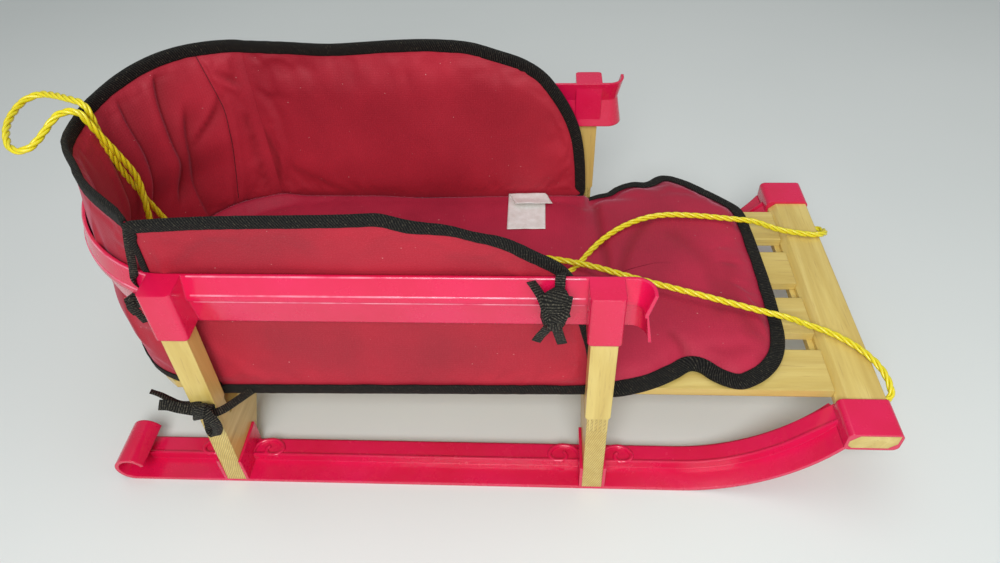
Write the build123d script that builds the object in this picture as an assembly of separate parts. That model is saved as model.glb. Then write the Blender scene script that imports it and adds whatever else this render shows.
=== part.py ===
from build123d import *
import os
from math import acos, atan2, cos, degrees, pi, radians, sin, sqrt, tan

# A wooden baby sled with moulded plastic runners and seat rail, and a fabric seat tub.
# All sizes are in millimetres. +X points forward, +Y to the sled's left, +Z up, and the
# runners stand on Z = 0. The origin is under the middle of the sled, its rope left out.

# Overall layout
TRACK = 390.0                # over the outer edges of the two runners
POST_PITCH = 373.4           # rear posts to front posts
BACK_CENTRE = 42.0           # centre of the round back, ahead of the rear posts
BOARD_PITCH = 608.5          # rear posts to the rear edge of the front board
DECK_TOP = 99.0              # top of the slats
CLEAR = 0.3                  # left between soft or curved pieces that would touch

# Runner moulding
SOLE_T = 4.0                 # plate that slides on the snow
SOLE_W = 51.0
BAND_TOP = 12.0              # raised band along the sole
BAND_OUT = 24.0              # sole's outer edge to the band
BAND_W = 21.0
BAND_FADE = 42.0             # degrees up the bend where the band begins to thin out
BAND_END = 6.0               # its height where it meets the sleeve
BEAD_W = 3.0                 # bead along the band's outer edge
BEAD_H = 1.8
BEND_R = 170.0
BEND_RISE = 82.0             # height of the upturned front's end
CURL_CENTRE = 110.0          # rear posts back to the rolled rear end
CURL_R = 17.2
CURL_ANGLE = 245.0
POCKET_T = 3.0               # fins each side of a foot
POCKET_DEPTH = 50.0
POCKET_TOP = 37.0
SLEEVE_WALL = 3.0            # ring round the front board's end
SLEEVE_L = 41.0
SLEEVE_ROUND = 6.0

# Scroll beside a foot: arcs of its bead's middle line, forward from the pocket's fin and inward
# from its centre, each from the end of the one before
SCROLL_START = (-1.0, -4.5)
SCROLL_ARCS = [              # middle ahead, middle inward, end ahead, end inward
    (2.0, 4.6, 12.5, 9.6),
    (24.6, 7.4, 30.6, -0.6),
    (27.6, -6.6, 19.8, -8.2),
    (12.4, -3.6, 14.6, 1.2)]
SCROLL_STEPS = 18            # short straight runs that the bead is drawn with
SCROLL_W = 3.8
SCROLL_MIDDLE = 33.5         # sole's outer edge to the scroll's centre

# Timber
FOOT_T = 20.0                # along the sled
UPRIGHT_W = 23.5             # along the sled, above the joint
POST_SIDE = 20.0             # across the sled
POST_LEAN = 0.0443           # inward lean of the posts, as a slope
SHOULDER = 3.0               # height of the upright's shoulders above the joint
FOOT_W = 50.0                # foot's width on the sole
FOOT_RISE = 16.0             # height of the foot's upright inner edge
BEAM_H = 24.0
BEAM_HALF = 100.0
JOINT_BASE = 96.0            # finger joint between foot and upright
FINGER_L = 18.0
FINGERS = 5
SLATS = 4
SLAT_T = 10.0
SLAT_GAP = 23.0
DECK_IN = 54.5               # sled's side to the deck's side
DECK_RIM = 4.5               # deck's round rear edge inside the rail's ridge
BOARD_W = 45.0
BOARD_T = 18.5
BOARD_PROUD = 2.5            # board's top above the slats
BOARD_BEVEL = 8.0
BOARD_EASE = 4.0             # eased lower rear edge
BOARD_ROUND = 7.0            # lower front edge
CLEAT_W = 6.0
CLEAT_H = 8.0
CLEAT_INSET = 22.0           # deck's side to the cleat's end

# Seat rail moulding
RAIL_TOP = 268.0
RIDGE_DROP = 23.0            # ridge below the rail's top
RAIL_H = 55.0
RAIL_T = 3.0
RIDGE_OUT = 5.5              # ridge beyond the rail's edges
RIDGE_BEAD = 2.0             # half the height of the bead on the ridge
RIDGE_STEP = 1.8             # bead's step back to the lower slope
RAIL_IN = 5.3                # posts' inner side at the rail's top to the rail's inner face
BACK_BULGE = 9.0             # round back beyond the rail's half width
RAIL_BLEND_R = 40.0          # between the straight side and the round back
FLARE_R = 17.0
FLARE_LIP = 6.0
FLARE_START = 8.0            # straight rail beyond the front socket
SOCKET_WALL = 3.0
SOCKET_H = 52.0
SOCKET_CORNER = 4.0

# Fabric seat
PANEL_T = 6.0
PANEL_BASE = 105.0
PANEL_TOP = 322.0
SHOULDER_X = 215.0           # side panels' highest place, ahead of the rear posts
SHOULDER_RISE = 4.0
KNEE_X = 344.0               # where the swept-down edge passes the rail
KNEE_DROP = 21.0             # below the rail's top
SWEEP_BOW = 9.0              # bow of the swept-down edge above the rail
FRONT_BOW = 7.0              # and below it
PAD_T = 14.0
TUB_REAR = 17.0              # side panels' rear edge, behind the rear posts
TUB_FRONT = 374.0            # side panels' front foot, ahead of the rear posts
TAG_W = 49.0
TAG_L = 64.0
TAG_T = 0.8
TAG_X = 301.0

# Foot pad's outline, from its neck's right corner round the front to its left corner: forward of
# the panels' front foot and out from the middle. It lies shifted to the left, as it does in use.
PAD_START = (0.3, -151.0)
PAD_ARCS = [                 # middle ahead, middle outward, end ahead, end outward
    (53.0, -143.0, 99.0, -114.0),
    (149.5, -140.5, 189.5, -103.0),
    (203.5, 10.0, 198.0, 116.0),
    (176.0, 169.0, 124.0, 192.0),
    (62.0, 179.0, 0.3, 151.0)]

# Rope and straps
ROPE_D = 7.3
ROPE_SIDES = 8
ROPE_HOLE_DEPTH = 9.5
ROPE_HOLE_CLEAR = 0.6
ROPE_HOLE_Z = 90.0
WEBBING_W = 10.0
WEBBING_T = 1.2
KNOT = 16.0                  # a knot's height and width
KNOT_T = 8.0
KNOT_BEVEL = 3.0
RAIL_TIE_X = 331.0           # ahead of the rear posts

# Places worked out from the sizes above
HALF = TRACK / 2
RAIL_HALF = HALF - POST_LEAN * (RAIL_TOP - SOLE_T) - POST_SIDE - RAIL_IN
RAIL_INNER_R = RAIL_HALF + BACK_BULGE
BACK_RIDGE_R = RAIL_INNER_R + RAIL_T + RIDGE_OUT
BEND_ANGLE = degrees(acos(1 - BEND_RISE / BEND_R))
BEND_START = BOARD_PITCH - BEND_R * sin(radians(BEND_ANGLE))
BAND_ANGLE = degrees(acos(1 - (BEND_RISE + BAND_END) / BEND_R))
REACH = BOARD_PITCH + BOARD_W + SLEEVE_WALL
REAR = -(REACH + BACK_CENTRE - BACK_RIDGE_R) / 2
FRONT = REAR + POST_PITCH
BACK_X = REAR + BACK_CENTRE
BOARD_X = REAR + BOARD_PITCH
BOARD_TOP = DECK_TOP + BOARD_PROUD
SLAT_BASE = DECK_TOP - SLAT_T
DECK_HALF = HALF - DECK_IN
SLAT_W = (2 * DECK_HALF - (SLATS - 1) * SLAT_GAP) / SLATS
RIDGE_Z = RAIL_TOP - RIDGE_DROP
DECK_R = BACK_RIDGE_R - DECK_RIM
PANEL_GAP = 2 * CLEAR
PANEL_INNER = RAIL_HALF - PANEL_GAP - PANEL_T
BLEND_Y = RAIL_HALF - RAIL_BLEND_R
BLEND_BACK = sqrt((RAIL_INNER_R - RAIL_BLEND_R) ** 2 - BLEND_Y ** 2)
BLEND_X = BACK_X - BLEND_BACK
BLEND_ANGLE = degrees(atan2(BLEND_BACK, BLEND_Y))
PAD_BASE = DECK_TOP + CLEAR


def outline(points):
    """A flat face from a closed outline of corners."""
    return make_face(Polyline(*points, close=True))


def along_y(face, y_from, y_to):
    """Extrude a face drawn in X and Z from one Y down to another."""
    placed = Plane((0, y_from, 0), x_dir=(1, 0, 0), z_dir=(0, -1, 0)) * face
    return extrude(placed, y_from - y_to)


def along_x(face, x_from, x_to):
    """Extrude a face drawn in Y and Z from one X to another."""
    placed = Plane((x_from, 0, 0), x_dir=(0, 1, 0), z_dir=(1, 0, 0)) * face
    return extrude(placed, x_to - x_from)


def upward(face, z_from, z_to):
    """Extrude a face drawn in X and Y from one height to another."""
    return extrude(Pos(0, 0, z_from) * face, z_to - z_from)


def block(x, y, z):
    """A box from its ranges along X, Y and Z."""
    sizes = [high - low for low, high in (x, y, z)]
    middle = [(high + low) / 2 for low, high in (x, y, z)]
    return Pos(*middle) * Box(*sizes)


def post_outer(z):
    """Y of a right-hand post's outer face at a height."""
    return -HALF + POST_LEAN * (z - SOLE_T)


def post_side(z_from, z_to):
    """Side outline of a leaning post between two heights."""
    return outline([
        (post_outer(z_from), z_from), (post_outer(z_to), z_to),
        (post_outer(z_to) + POST_SIDE, z_to), (post_outer(z_from) + POST_SIDE, z_from)])


def runner_band(bottom, rise, rear_x):
    """Side face of a layer of the runner, up to a rise over the band's heights, that thins out up the bend."""
    bend = (REAR + BEND_START, BEND_R)
    top = BAND_TOP + rise
    outer = CenterArc(bend, BEND_R - bottom, -90, BAND_ANGLE)
    inner = CenterArc(bend, BEND_R - top, -90, BAND_FADE)
    end = CenterArc(bend, BEND_R - BAND_END - rise, -90, BAND_ANGLE) @ 1
    return make_face([
        Line((rear_x, bottom), (bend[0], bottom)), outer, Line(outer @ 1, end), Line(end, inner @ 1), inner,
        Line((bend[0], top), (rear_x, top)), Line((rear_x, top), (rear_x, bottom))])


def sole_profile():
    """The sole plate: flat, upturned at the front and rolled over at the rear."""
    bend = (REAR + BEND_START, BEND_R)
    curl = (REAR - CURL_CENTRE, CURL_R)
    outer = CenterArc(bend, BEND_R, -90, BEND_ANGLE)
    inner = CenterArc(bend, BEND_R - SOLE_T, -90, BEND_ANGLE)
    roll_outer = CenterArc(curl, CURL_R, -90, -CURL_ANGLE)
    roll_inner = CenterArc(curl, CURL_R - SOLE_T, -90, -CURL_ANGLE)
    return make_face([
        Line((curl[0], 0), (bend[0], 0)), outer, Line(outer @ 1, inner @ 1), inner,
        Line((bend[0], SOLE_T), (curl[0], SOLE_T)), roll_inner,
        Line(roll_inner @ 1, roll_outer @ 1), roll_outer])


def board_profile():
    """Section of the front board: bevelled at the rear, eased and rounded along its lower edges."""
    x0, x1 = BOARD_X, BOARD_X + BOARD_W
    z0, z1 = BOARD_TOP - BOARD_T, BOARD_TOP
    return outline([
        (x0, z0 + BOARD_EASE), (x0 + BOARD_EASE, z0), (x1 - BOARD_ROUND, z0), (x1, z0 + BOARD_ROUND),
        (x1, z1), (x0 + BOARD_BEVEL, z1), (x0, z1 - BOARD_BEVEL)])


def sleeve_profile():
    """Outer section of the runner's sleeve, a rounded rectangle round the board."""
    middle = (BOARD_X + BOARD_W / 2, BOARD_TOP - BOARD_T / 2)
    return Pos(*middle) * RectangleRounded(BOARD_W + 2 * SLEEVE_WALL, BOARD_T + 2 * SLEEVE_WALL, SLEEVE_ROUND)


def arc_chain(start, arcs, place):
    """Arcs that follow one another from a start, drawn where place puts each of their points."""
    chain = []
    for middle_u, middle_v, end_u, end_v in arcs:
        chain.append(ThreePointArc(place(*start), place(middle_u, middle_v), place(end_u, end_v)))
        start = (end_u, end_v)
    return chain


def scroll(start_x, way):
    """Raised spiral on the band, starting at a fin and reaching ahead (way 1) or back (way -1)."""
    curve = Wire(arc_chain(SCROLL_START, SCROLL_ARCS,
                           lambda ahead, inward: (start_x + way * ahead, SCROLL_MIDDLE - HALF + inward)))
    line = Polyline(*[curve @ (step / SCROLL_STEPS) for step in range(SCROLL_STEPS + 1)])
    return upward(trace(line, SCROLL_W), BAND_TOP - BEAD_H, BAND_TOP + BEAD_H)


def make_runner():
    """Right-hand runner: sole with a raised band, foot pockets, scrolls and the board's sleeve, one moulding."""
    rear_x = REAR - CURL_CENTRE + CURL_R / 2
    band_out = -HALF + BAND_OUT
    half = FOOT_T / 2
    band = along_y(runner_band(SOLE_T / 2, 0, rear_x), band_out + BAND_W, band_out)
    band += along_y(runner_band(SOLE_T / 2, BEAD_H, rear_x), band_out + BEAD_W, band_out)
    for post_x in (REAR, FRONT):
        for way in (-1, 1):
            band += scroll(post_x + way * (half + POCKET_T), way)
    body = along_y(sole_profile(), -HALF + SOLE_W, -HALF) + band
    for post_x in (REAR, FRONT):
        body += block((post_x - half - POCKET_T, post_x + half + POCKET_T),
                      (-HALF, -HALF + POCKET_DEPTH), (SOLE_T / 2, POCKET_TOP))
        body -= block((post_x - half, post_x + half),
                      (-HALF - 1, -HALF + SOLE_W + 1), (SOLE_T, POCKET_TOP + 1))
    body += along_y(sleeve_profile(), -HALF + SLEEVE_L, -HALF)
    return body - along_y(board_profile(), -HALF + SLEEVE_L + 1, -HALF - 1)


def tub_line(start_x, inset):
    """Right half of the rail's plan line and its round back, inset from the rail's inner face."""
    half = [
        Line((start_x, -RAIL_HALF + inset), (BLEND_X, -RAIL_HALF + inset)),
        CenterArc((BLEND_X, -BLEND_Y), RAIL_BLEND_R - inset, -90, -BLEND_ANGLE)]
    back = CenterArc((BACK_X, 0), RAIL_INNER_R - inset, -90 - BLEND_ANGLE, -2 * (90 - BLEND_ANGLE))
    return half, back


def tub_plan(front_x, inset):
    """Plan of the space inside the rail, up to a straight front."""
    half, back = tub_line(front_x, inset)
    front = Line((front_x, -RAIL_HALF + inset), (front_x, RAIL_HALF - inset))
    return make_face(half + [back, front] + [edge.mirror(Plane.XZ) for edge in half])


def make_rail_band():
    """The rail's band, swept from the right-hand flare round the back to the left-hand one."""
    start_x = FRONT + UPRIGHT_W / 2 + SOCKET_WALL + FLARE_START
    lip_x = start_x + FLARE_R
    lip_y = -RAIL_HALF - FLARE_R
    side, back = tub_line(start_x, 0)
    half_path = [
        Line((lip_x, lip_y - FLARE_LIP), (lip_x, lip_y)), CenterArc((start_x, lip_y), FLARE_R, 0, 90)] + side
    path = Wire(half_path + [back] + [edge.mirror(Plane.XZ) for edge in half_path])
    low = RIDGE_DROP - RAIL_H
    out = RAIL_T + RIDGE_OUT
    section = outline([
        (0, RIDGE_DROP), (RAIL_T, RIDGE_DROP), (out, RIDGE_BEAD), (out, -RIDGE_BEAD),
        (out - RIDGE_STEP, -RIDGE_BEAD - 1), (RAIL_T, low), (0, low), (RIDGE_OUT, 0)])
    across = Plane((lip_x, lip_y - FLARE_LIP, 0), x_dir=(-1, 0, 0), z_dir=(0, 1, 0))
    return Pos(0, 0, RIDGE_Z) * sweep(across * section, path=path)


def make_rail():
    """Seat rail: the band with the four sockets that cap the posts, one moulding."""
    rail = make_rail_band()
    half = UPRIGHT_W / 2
    base = RAIL_TOP - SOCKET_H
    for post_x in (REAR, FRONT):
        side = outline([
            (post_outer(base) - SOCKET_WALL, base), (post_outer(RAIL_TOP) - SOCKET_WALL, RAIL_TOP),
            (-RAIL_HALF - RAIL_T / 2, RAIL_TOP), (-RAIL_HALF - RAIL_T / 2, base)])
        socket = along_x(side, post_x - half - SOCKET_WALL, post_x + half + SOCKET_WALL)
        corners = [edge for edge in socket.edges() if abs(edge.tangent_at(0.5).X) < 0.5
                   and abs(edge.tangent_at(0.5).Z) > 0.5 and edge.center().Y < post_outer(RAIL_TOP) + 1]
        socket = fillet(corners, SOCKET_CORNER)
        hole = along_x(post_side(base - 1, RAIL_TOP - SOCKET_WALL), post_x - half, post_x + half)
        rail += socket + mirror(socket, about=Plane.XZ)
        rail -= hole + mirror(hole, about=Plane.XZ)
    return rail


def make_upright(post_x):
    """Right-hand post above the finger joint, with its fingers pointing down and shoulders above them."""
    foot, half = FOOT_T / 2, UPRIGHT_W / 2
    joint_top = JOINT_BASE + FINGER_L
    high = RAIL_TOP - SOCKET_WALL
    front = outline([
        (post_x - foot, JOINT_BASE), (post_x + foot, JOINT_BASE), (post_x + foot, joint_top),
        (post_x + half, joint_top + SHOULDER), (post_x + half, high), (post_x - half, high),
        (post_x - half, joint_top + SHOULDER), (post_x - foot, joint_top)])
    post = along_x(post_side(JOINT_BASE, high), post_x - half, post_x + half)
    return (post & along_y(front, -HALF / 2, -HALF - 1)) - finger_slots(post_x, 0)


def finger_slots(post_x, first):
    """Slots of the finger joint: every second finger's place, from the first or the next."""
    half = FOOT_T / 2
    finger = FOOT_T / (2 * FINGERS)
    slots = [block((post_x - half + (2 * i + first) * finger, post_x - half + (2 * i + first + 1) * finger),
                   (-HALF - 1, -HALF / 2), (JOINT_BASE, JOINT_BASE + FINGER_L)) for i in range(FINGERS)]
    return Part() + slots


def make_foot(post_x):
    """Right-hand end of a bent: stands on the sole and slopes inward up to the crossbeam."""
    top = JOINT_BASE + FINGER_L
    inner = -HALF + FOOT_W
    side = outline([
        (-HALF, SOLE_T), (post_outer(top), top), (post_outer(top) + POST_SIDE, top),
        (post_outer(SLAT_BASE) + POST_SIDE, SLAT_BASE), (-BEAM_HALF, SLAT_BASE),
        (-BEAM_HALF, SLAT_BASE - BEAM_H), (inner, FOOT_RISE), (inner, SOLE_T)])
    half = FOOT_T / 2
    return along_x(side, post_x - half, post_x + half) - finger_slots(post_x, 1)


def make_crossbeam(post_x):
    half = FOOT_T / 2
    return block((post_x - half, post_x + half), (-BEAM_HALF, BEAM_HALF), (SLAT_BASE - BEAM_H, SLAT_BASE))


def make_slat(index):
    """One of the deck's slats, its rear end cut to the round of the back."""
    pitch = SLAT_W + SLAT_GAP
    middle = (index - (SLATS - 1) / 2) * pitch
    slat = block((BACK_X - DECK_R - 1, BOARD_X), (middle - SLAT_W / 2, middle + SLAT_W / 2),
                 (SLAT_BASE, DECK_TOP))
    round_end = Pos(BACK_X, 0, DECK_TOP - SLAT_T / 2) * Cylinder(DECK_R, 2 * SLAT_T)
    ahead = block((BACK_X, BOARD_X + 1), (-HALF, HALF), (SLAT_BASE - 1, DECK_TOP + 1))
    return slat & (round_end + ahead)


def make_board():
    board = along_y(board_profile(), HALF, -HALF)
    bore = ROPE_D / 2 + ROPE_HOLE_CLEAR
    for side in (ROPE_RIGHT_Y, ROPE_LEFT_Y):
        hole = Plane((BOARD_X + BOARD_W - ROPE_HOLE_DEPTH, side, ROPE_HOLE_Z), z_dir=(1, 0, 0)) * Circle(bore)
        board -= extrude(hole, ROPE_HOLE_DEPTH + 1)
    return board


def make_cleat():
    """Cross strip that carries the slats' front ends, behind the board."""
    half = DECK_HALF - CLEAT_INSET
    return block((BOARD_X - CLEAT_W, BOARD_X), (-half, half), (SLAT_BASE - CLEAT_H, SLAT_BASE))


def tub_wall(z_from, z_to):
    """The tub's whole wall, just inside the rail."""
    front = REAR + TUB_FRONT
    ring = tub_plan(front, PANEL_GAP) - tub_plan(front, PANEL_GAP + PANEL_T)
    return upward(ring, z_from, z_to)


def make_side_panel():
    """Right-hand wall of the seat tub, high at the rear and swept down at the front."""
    rear, front = REAR - TUB_REAR, REAR + TUB_FRONT
    shoulder = (REAR + SHOULDER_X, PANEL_TOP + SHOULDER_RISE)
    knee = (REAR + KNEE_X, RAIL_TOP - KNEE_DROP)
    face = make_face([
        Line((rear, PANEL_BASE), (rear, PANEL_TOP)), Line((rear, PANEL_TOP), shoulder),
        bowed(shoulder, knee, SWEEP_BOW), bowed(knee, (front, PANEL_BASE), FRONT_BOW),
        Line((front, PANEL_BASE), (rear, PANEL_BASE))])
    wall = tub_wall(PANEL_BASE, PANEL_TOP + SHOULDER_RISE + 1)
    return wall & along_y(face, -PANEL_INNER / 2, -HALF)


def bowed(start, end, bow):
    """An arc that stands out from the straight line between two places, to its left."""
    ahead = Vector(end[0] - start[0], end[1] - start[1])
    out = Vector(-ahead.Y, ahead.X).normalized() * bow
    middle = Vector((start[0] + end[0]) / 2, (start[1] + end[1]) / 2) + out
    return ThreePointArc(start, (middle.X, middle.Y), end)


def make_back_panel():
    """Round back of the seat tub, standing on the deck inside the rail."""
    rear = REAR - TUB_REAR - CLEAR
    return tub_wall(PAD_BASE, PANEL_TOP) & block((rear - HALF, rear), (-HALF, HALF), (0, PANEL_TOP + 1))


def make_seat_pad():
    """Quilted floor of the tub."""
    face = tub_plan(REAR + TUB_FRONT, PANEL_GAP + PANEL_T + CLEAR)
    return upward(face, PAD_BASE, PAD_BASE + PAD_T)


def make_foot_pad():
    """Front tongue of the padding: narrow waist, rounded lobes."""
    front = REAR + TUB_FRONT
    share = PANEL_INNER / PAD_ARCS[-1][-1]
    sides = arc_chain(PAD_START, PAD_ARCS, lambda ahead, outward: (front + ahead, outward * share))
    return upward(make_face(sides + [Line(sides[-1] @ 1, sides[0] @ 0)]), PAD_BASE, PAD_BASE + PAD_T)


def make_tag():
    """Small blank cloth tag sewn in at the seat's left seam, lying on the pad."""
    y = PANEL_INNER - 1
    z = PAD_BASE + PAD_T + CLEAR
    x = REAR + TAG_X
    return block((x - TAG_W / 2, x + TAG_W / 2), (y - TAG_L, y), (z, z + TAG_T))


# Rope route, from the hole in the board's right half, back into the tub, up and over the round
# back in a loose loop, and along the other side to the hole on the left. X counts from the rear posts.
ROPE_RIGHT_Y = -146.0
ROPE_LEFT_Y = 120.0
ROPE_ROUTE = [
    (644.3, -146, 90), (664, -145.8, 90.2), (664.5, -133, 99), (660, -116, 104.4), (649, -96, 106.2),
    (634, -79, 106.2), (616, -66, 106.2), (598, -60, 108), (580, -61, 118.3), (548, -54, 122),
    (486, -34, 126), (428, -14, 127), (366, 12, 128),
    (296, 32, 122), (214, 37, 119), (130, 30, 119), (46, 36, 119), (-22, 30, 120), (-72, 38, 128),
    (-98, 33, 150), (-107, 27, 190), (-112, 15, 232), (-113, 5, 272), (-113, 1, 304),
    (-112, 1, 324), (-115, 3, 337), (-131, 9, 338), (-156, 24, 334), (-175, 32, 331), (-187, 27, 329),
    (-190, 12, 328), (-187, -14, 326), (-177, -36, 324), (-168, -49, 322), (-156, -56, 322),
    (-146, -53, 323), (-141, -41, 326), (-138, -24, 331), (-131, -14, 337), (-115, -10, 337),
    (-110, -10, 324), (-106, -6, 304), (-104, 4, 276), (-103, 16, 242), (-105, 10, 206), (-107, 4, 172),
    (-100, -6, 140), (-78, -20, 122), (-32, -34, 119), (40, -30, 119), (120, -42, 119), (204, -36, 119),
    (276, -22, 119),
    (330, -6, 119), (358, 10, 118), (372, 36, 118), (394, 66, 119), (424, 92, 120), (462, 108, 121),
    (508, 106, 121), (552, 99.5, 120.5), (574, 97.4, 119.8), (592, 97, 112.3), (606, 95.5, 107.6),
    (628, 91.5, 106.1), (646, 88.2, 106), (658.5, 91, 105.2), (665, 103, 98.5), (663.5, 119.6, 90.2),
    (644.3, 120, 90)]


def rope_radii(points):
    """Radius of each corner: 0.45 of the shorter run over the tangent of half the turn."""
    radii = []
    for a, b, c in zip(points, points[1:], points[2:]):
        first, second = Vector(*b) - Vector(*a), Vector(*c) - Vector(*b)
        turn = first.get_angle(second)
        radii.append(0.45 * min(first.length, second.length) / tan(radians(turn / 2)))
    return radii


def make_rope():
    """Tow rope; its eight-sided section has the area of the round one."""
    points = [(x + REAR, y, z) for x, y, z in ROPE_ROUTE]
    radii = rope_radii(points)
    path = FilletPolyline(*points, radius=radii)
    start = Plane(path @ 0, z_dir=path % 0)
    section = pi * ROPE_D ** 2 / 4
    corner = sqrt(2 * section / (ROPE_SIDES * sin(2 * pi / ROPE_SIDES)))
    rope = sweep(start * RegularPolygon(corner, ROPE_SIDES), path=path)
    print("rope length", round(path.length, 1), "volume over section times length",
          round(rope.volume / (section * path.length), 4))
    print("rope radii", [round(radius, 1) for radius in radii])
    return rope


def ribbon(points, thickness):
    """Face of a bent strap from its line of corners, thickened to the left of the way it runs."""
    side = []
    for i, point in enumerate(points):
        before = points[max(i - 1, 0)]
        after = points[min(i + 1, len(points) - 1)]
        back = Vector(point[0] - before[0], point[1] - before[1])
        ahead = Vector(after[0] - point[0], after[1] - point[1])
        first = back.normalized() if back.length else ahead.normalized()
        second = ahead.normalized() if ahead.length else first
        way = (first + second).normalized()
        reach = thickness / second.dot(way)
        side.append((point[0] - way.Y * reach, point[1] + way.X * reach))
    return outline(list(points) + side[::-1])


def knot(x, y_inner, z):
    """A knot's bulk: an eight-sided lump with its flat back at a Y, centred on X and Z."""
    half, bevel = KNOT / 2, KNOT_BEVEL
    face = outline([
        (x - half, z - half + bevel), (x - half + bevel, z - half), (x + half - bevel, z - half),
        (x + half, z - half + bevel), (x + half, z + half - bevel), (x + half - bevel, z + half),
        (x - half + bevel, z + half), (x - half, z + half - bevel)])
    return along_y(face, y_inner, y_inner - KNOT_T)


def tail(x, y_inner, z, x_end, z_end):
    """A loose strap end that runs out of a knot."""
    way = Vector(x_end - x, z_end - z).normalized()
    wide = Vector(-way.Y, way.X) * (WEBBING_W / 2)
    face = outline([(x + wide.X, z + wide.Y), (x_end + wide.X, z_end + wide.Y),
                    (x_end - wide.X, z_end - wide.Y), (x - wide.X, z - wide.Y)])
    return along_y(face, y_inner - KNOT_T / 2, y_inner - KNOT_T / 2 - WEBBING_T)


def make_rail_tie():
    """Webbing tie over the rail's right side, knotted on its outer face ahead of the front seat edge."""
    x = REAR + RAIL_TIE_X
    edge = RAIL_HALF + RAIL_T
    ridge = edge + RIDGE_OUT + CLEAR
    top = RAIL_TOP + CLEAR
    strap = ribbon([(-RAIL_HALF, top), (-edge - CLEAR, top), (-ridge - CLEAR, RIDGE_Z + RIDGE_BEAD),
                    (-ridge - CLEAR, RIDGE_Z - KNOT)], -WEBBING_T)
    tie = along_x(strap, x - WEBBING_W / 2, x + WEBBING_W / 2)
    y, z = -ridge - CLEAR - WEBBING_T / 2, RIDGE_Z
    tie += knot(x, y, z) + tail(x, y, z, x - KNOT, z + KNOT + WEBBING_W / 2)
    return tie + tail(x, y, z, x - KNOT, z - 2 * KNOT) + tail(x, y, z, x + KNOT / 2, z - 2 * KNOT - KNOT_T)


def make_post_tie():
    """Webbing tie round the right rear post, from both faces of the foot to a knot outside it."""
    half = FOOT_T / 2 + CLEAR
    z = JOINT_BASE - WEBBING_W
    y = post_outer(z - WEBBING_W) - 2 * CLEAR
    high_y, high_z = -PANEL_INNER, PANEL_BASE - 2
    slope = outline([(y, z + WEBBING_W / 2), (high_y, high_z), (high_y, high_z - WEBBING_W),
                     (y, z - WEBBING_W / 2)])
    tie = along_x(slope, REAR + half, REAR + half + WEBBING_T)
    tie += along_x(slope, REAR - half - WEBBING_T, REAR - half)
    tie += block((REAR - half - WEBBING_T, REAR + half + WEBBING_T), (y - WEBBING_T, y + CLEAR / 2),
                 (z - WEBBING_W / 2, z + WEBBING_W / 2))
    tie += knot(REAR, y - WEBBING_T / 2, z)
    tie += tail(REAR, y, z, REAR - 3 * KNOT, z + KNOT)
    return tie + tail(REAR, y + WEBBING_T, z, REAR - 3 * KNOT, z + 2 * KNOT)


def make_corner_tie():
    """Webbing tie at the tub's right rear corner, down over the rail to a knot below it."""
    near = REAR - UPRIGHT_W / 2 - SOCKET_WALL - 1
    x = near - WEBBING_W / 2
    ring = RAIL_INNER_R + RAIL_T
    edge = sqrt(ring ** 2 - (BACK_X - near) ** 2) + CLEAR
    ridge = sqrt((ring + RIDGE_OUT) ** 2 - (BACK_X - near) ** 2) + CLEAR
    low = RIDGE_Z - 3 * KNOT
    strap = ribbon([(-edge, PANEL_TOP - SHOULDER_RISE), (-edge, RAIL_TOP), (-ridge, RIDGE_Z + RIDGE_BEAD),
                    (-ridge, low + KNOT / 2)], -WEBBING_T)
    tie = along_x(strap, x - WEBBING_W / 2, x + WEBBING_W / 2)
    return tie + knot(x - 1, -ridge - WEBBING_T / 2, low + KNOT / 2)


def build_parts():
    """Every piece by its node name. Pieces on the sled's right are mirrored to its left."""
    pairs = {
        "runner": make_runner(), "side_panel": make_side_panel(),
        "upright_rear": make_upright(REAR), "upright_front": make_upright(FRONT),
        "foot_rear": make_foot(REAR), "foot_front": make_foot(FRONT),
        "tie_rail": make_rail_tie(), "tie_post": make_post_tie(), "tie_corner": make_corner_tie()}
    parts = {}
    for name, right in pairs.items():
        parts[name + "_right"] = right
        parts[name + "_left"] = mirror(right, about=Plane.XZ)
    parts["seat_rail"] = make_rail()
    parts["crossbeam_rear"] = make_crossbeam(REAR)
    parts["crossbeam_front"] = make_crossbeam(FRONT)
    for index in range(SLATS):
        parts[f"slat_{index + 1}"] = make_slat(index)
    parts["front_board"] = make_board()
    parts["front_cleat"] = make_cleat()
    parts["back_panel"] = make_back_panel()
    parts["seat_pad"] = make_seat_pad()
    parts["foot_pad"] = make_foot_pad()
    parts["care_tag"] = make_tag()
    parts["tow_rope"] = make_rope()
    return parts


if __name__ == "__main__":
    os.makedirs("parts", exist_ok=True)
    for name, part in build_parts().items():
        export_step(part, f"parts/{name}.step")
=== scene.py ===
from math import cos, pi, radians, sin

import bmesh
import bpy
import numpy as np
from mathutils import Matrix, Vector, noise


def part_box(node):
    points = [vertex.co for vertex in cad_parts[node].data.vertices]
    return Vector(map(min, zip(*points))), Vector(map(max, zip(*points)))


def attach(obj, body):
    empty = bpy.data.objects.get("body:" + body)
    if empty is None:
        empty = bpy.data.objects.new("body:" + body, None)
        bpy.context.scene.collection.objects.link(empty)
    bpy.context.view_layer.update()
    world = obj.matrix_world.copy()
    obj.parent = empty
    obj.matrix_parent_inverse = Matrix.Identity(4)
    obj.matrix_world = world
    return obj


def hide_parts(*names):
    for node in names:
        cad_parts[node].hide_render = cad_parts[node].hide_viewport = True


# Looks of the baby sled: finishes of the plastic and timber, the fabric seat with its bindings,
# the webbing ties, the twisted rope, and a plain studio.
# Places are in millimetres, with X counted forward from the middle of the rear posts, Y to the
# sled's left and Z up from the floor. spot() turns them into the frame's metres.

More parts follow.
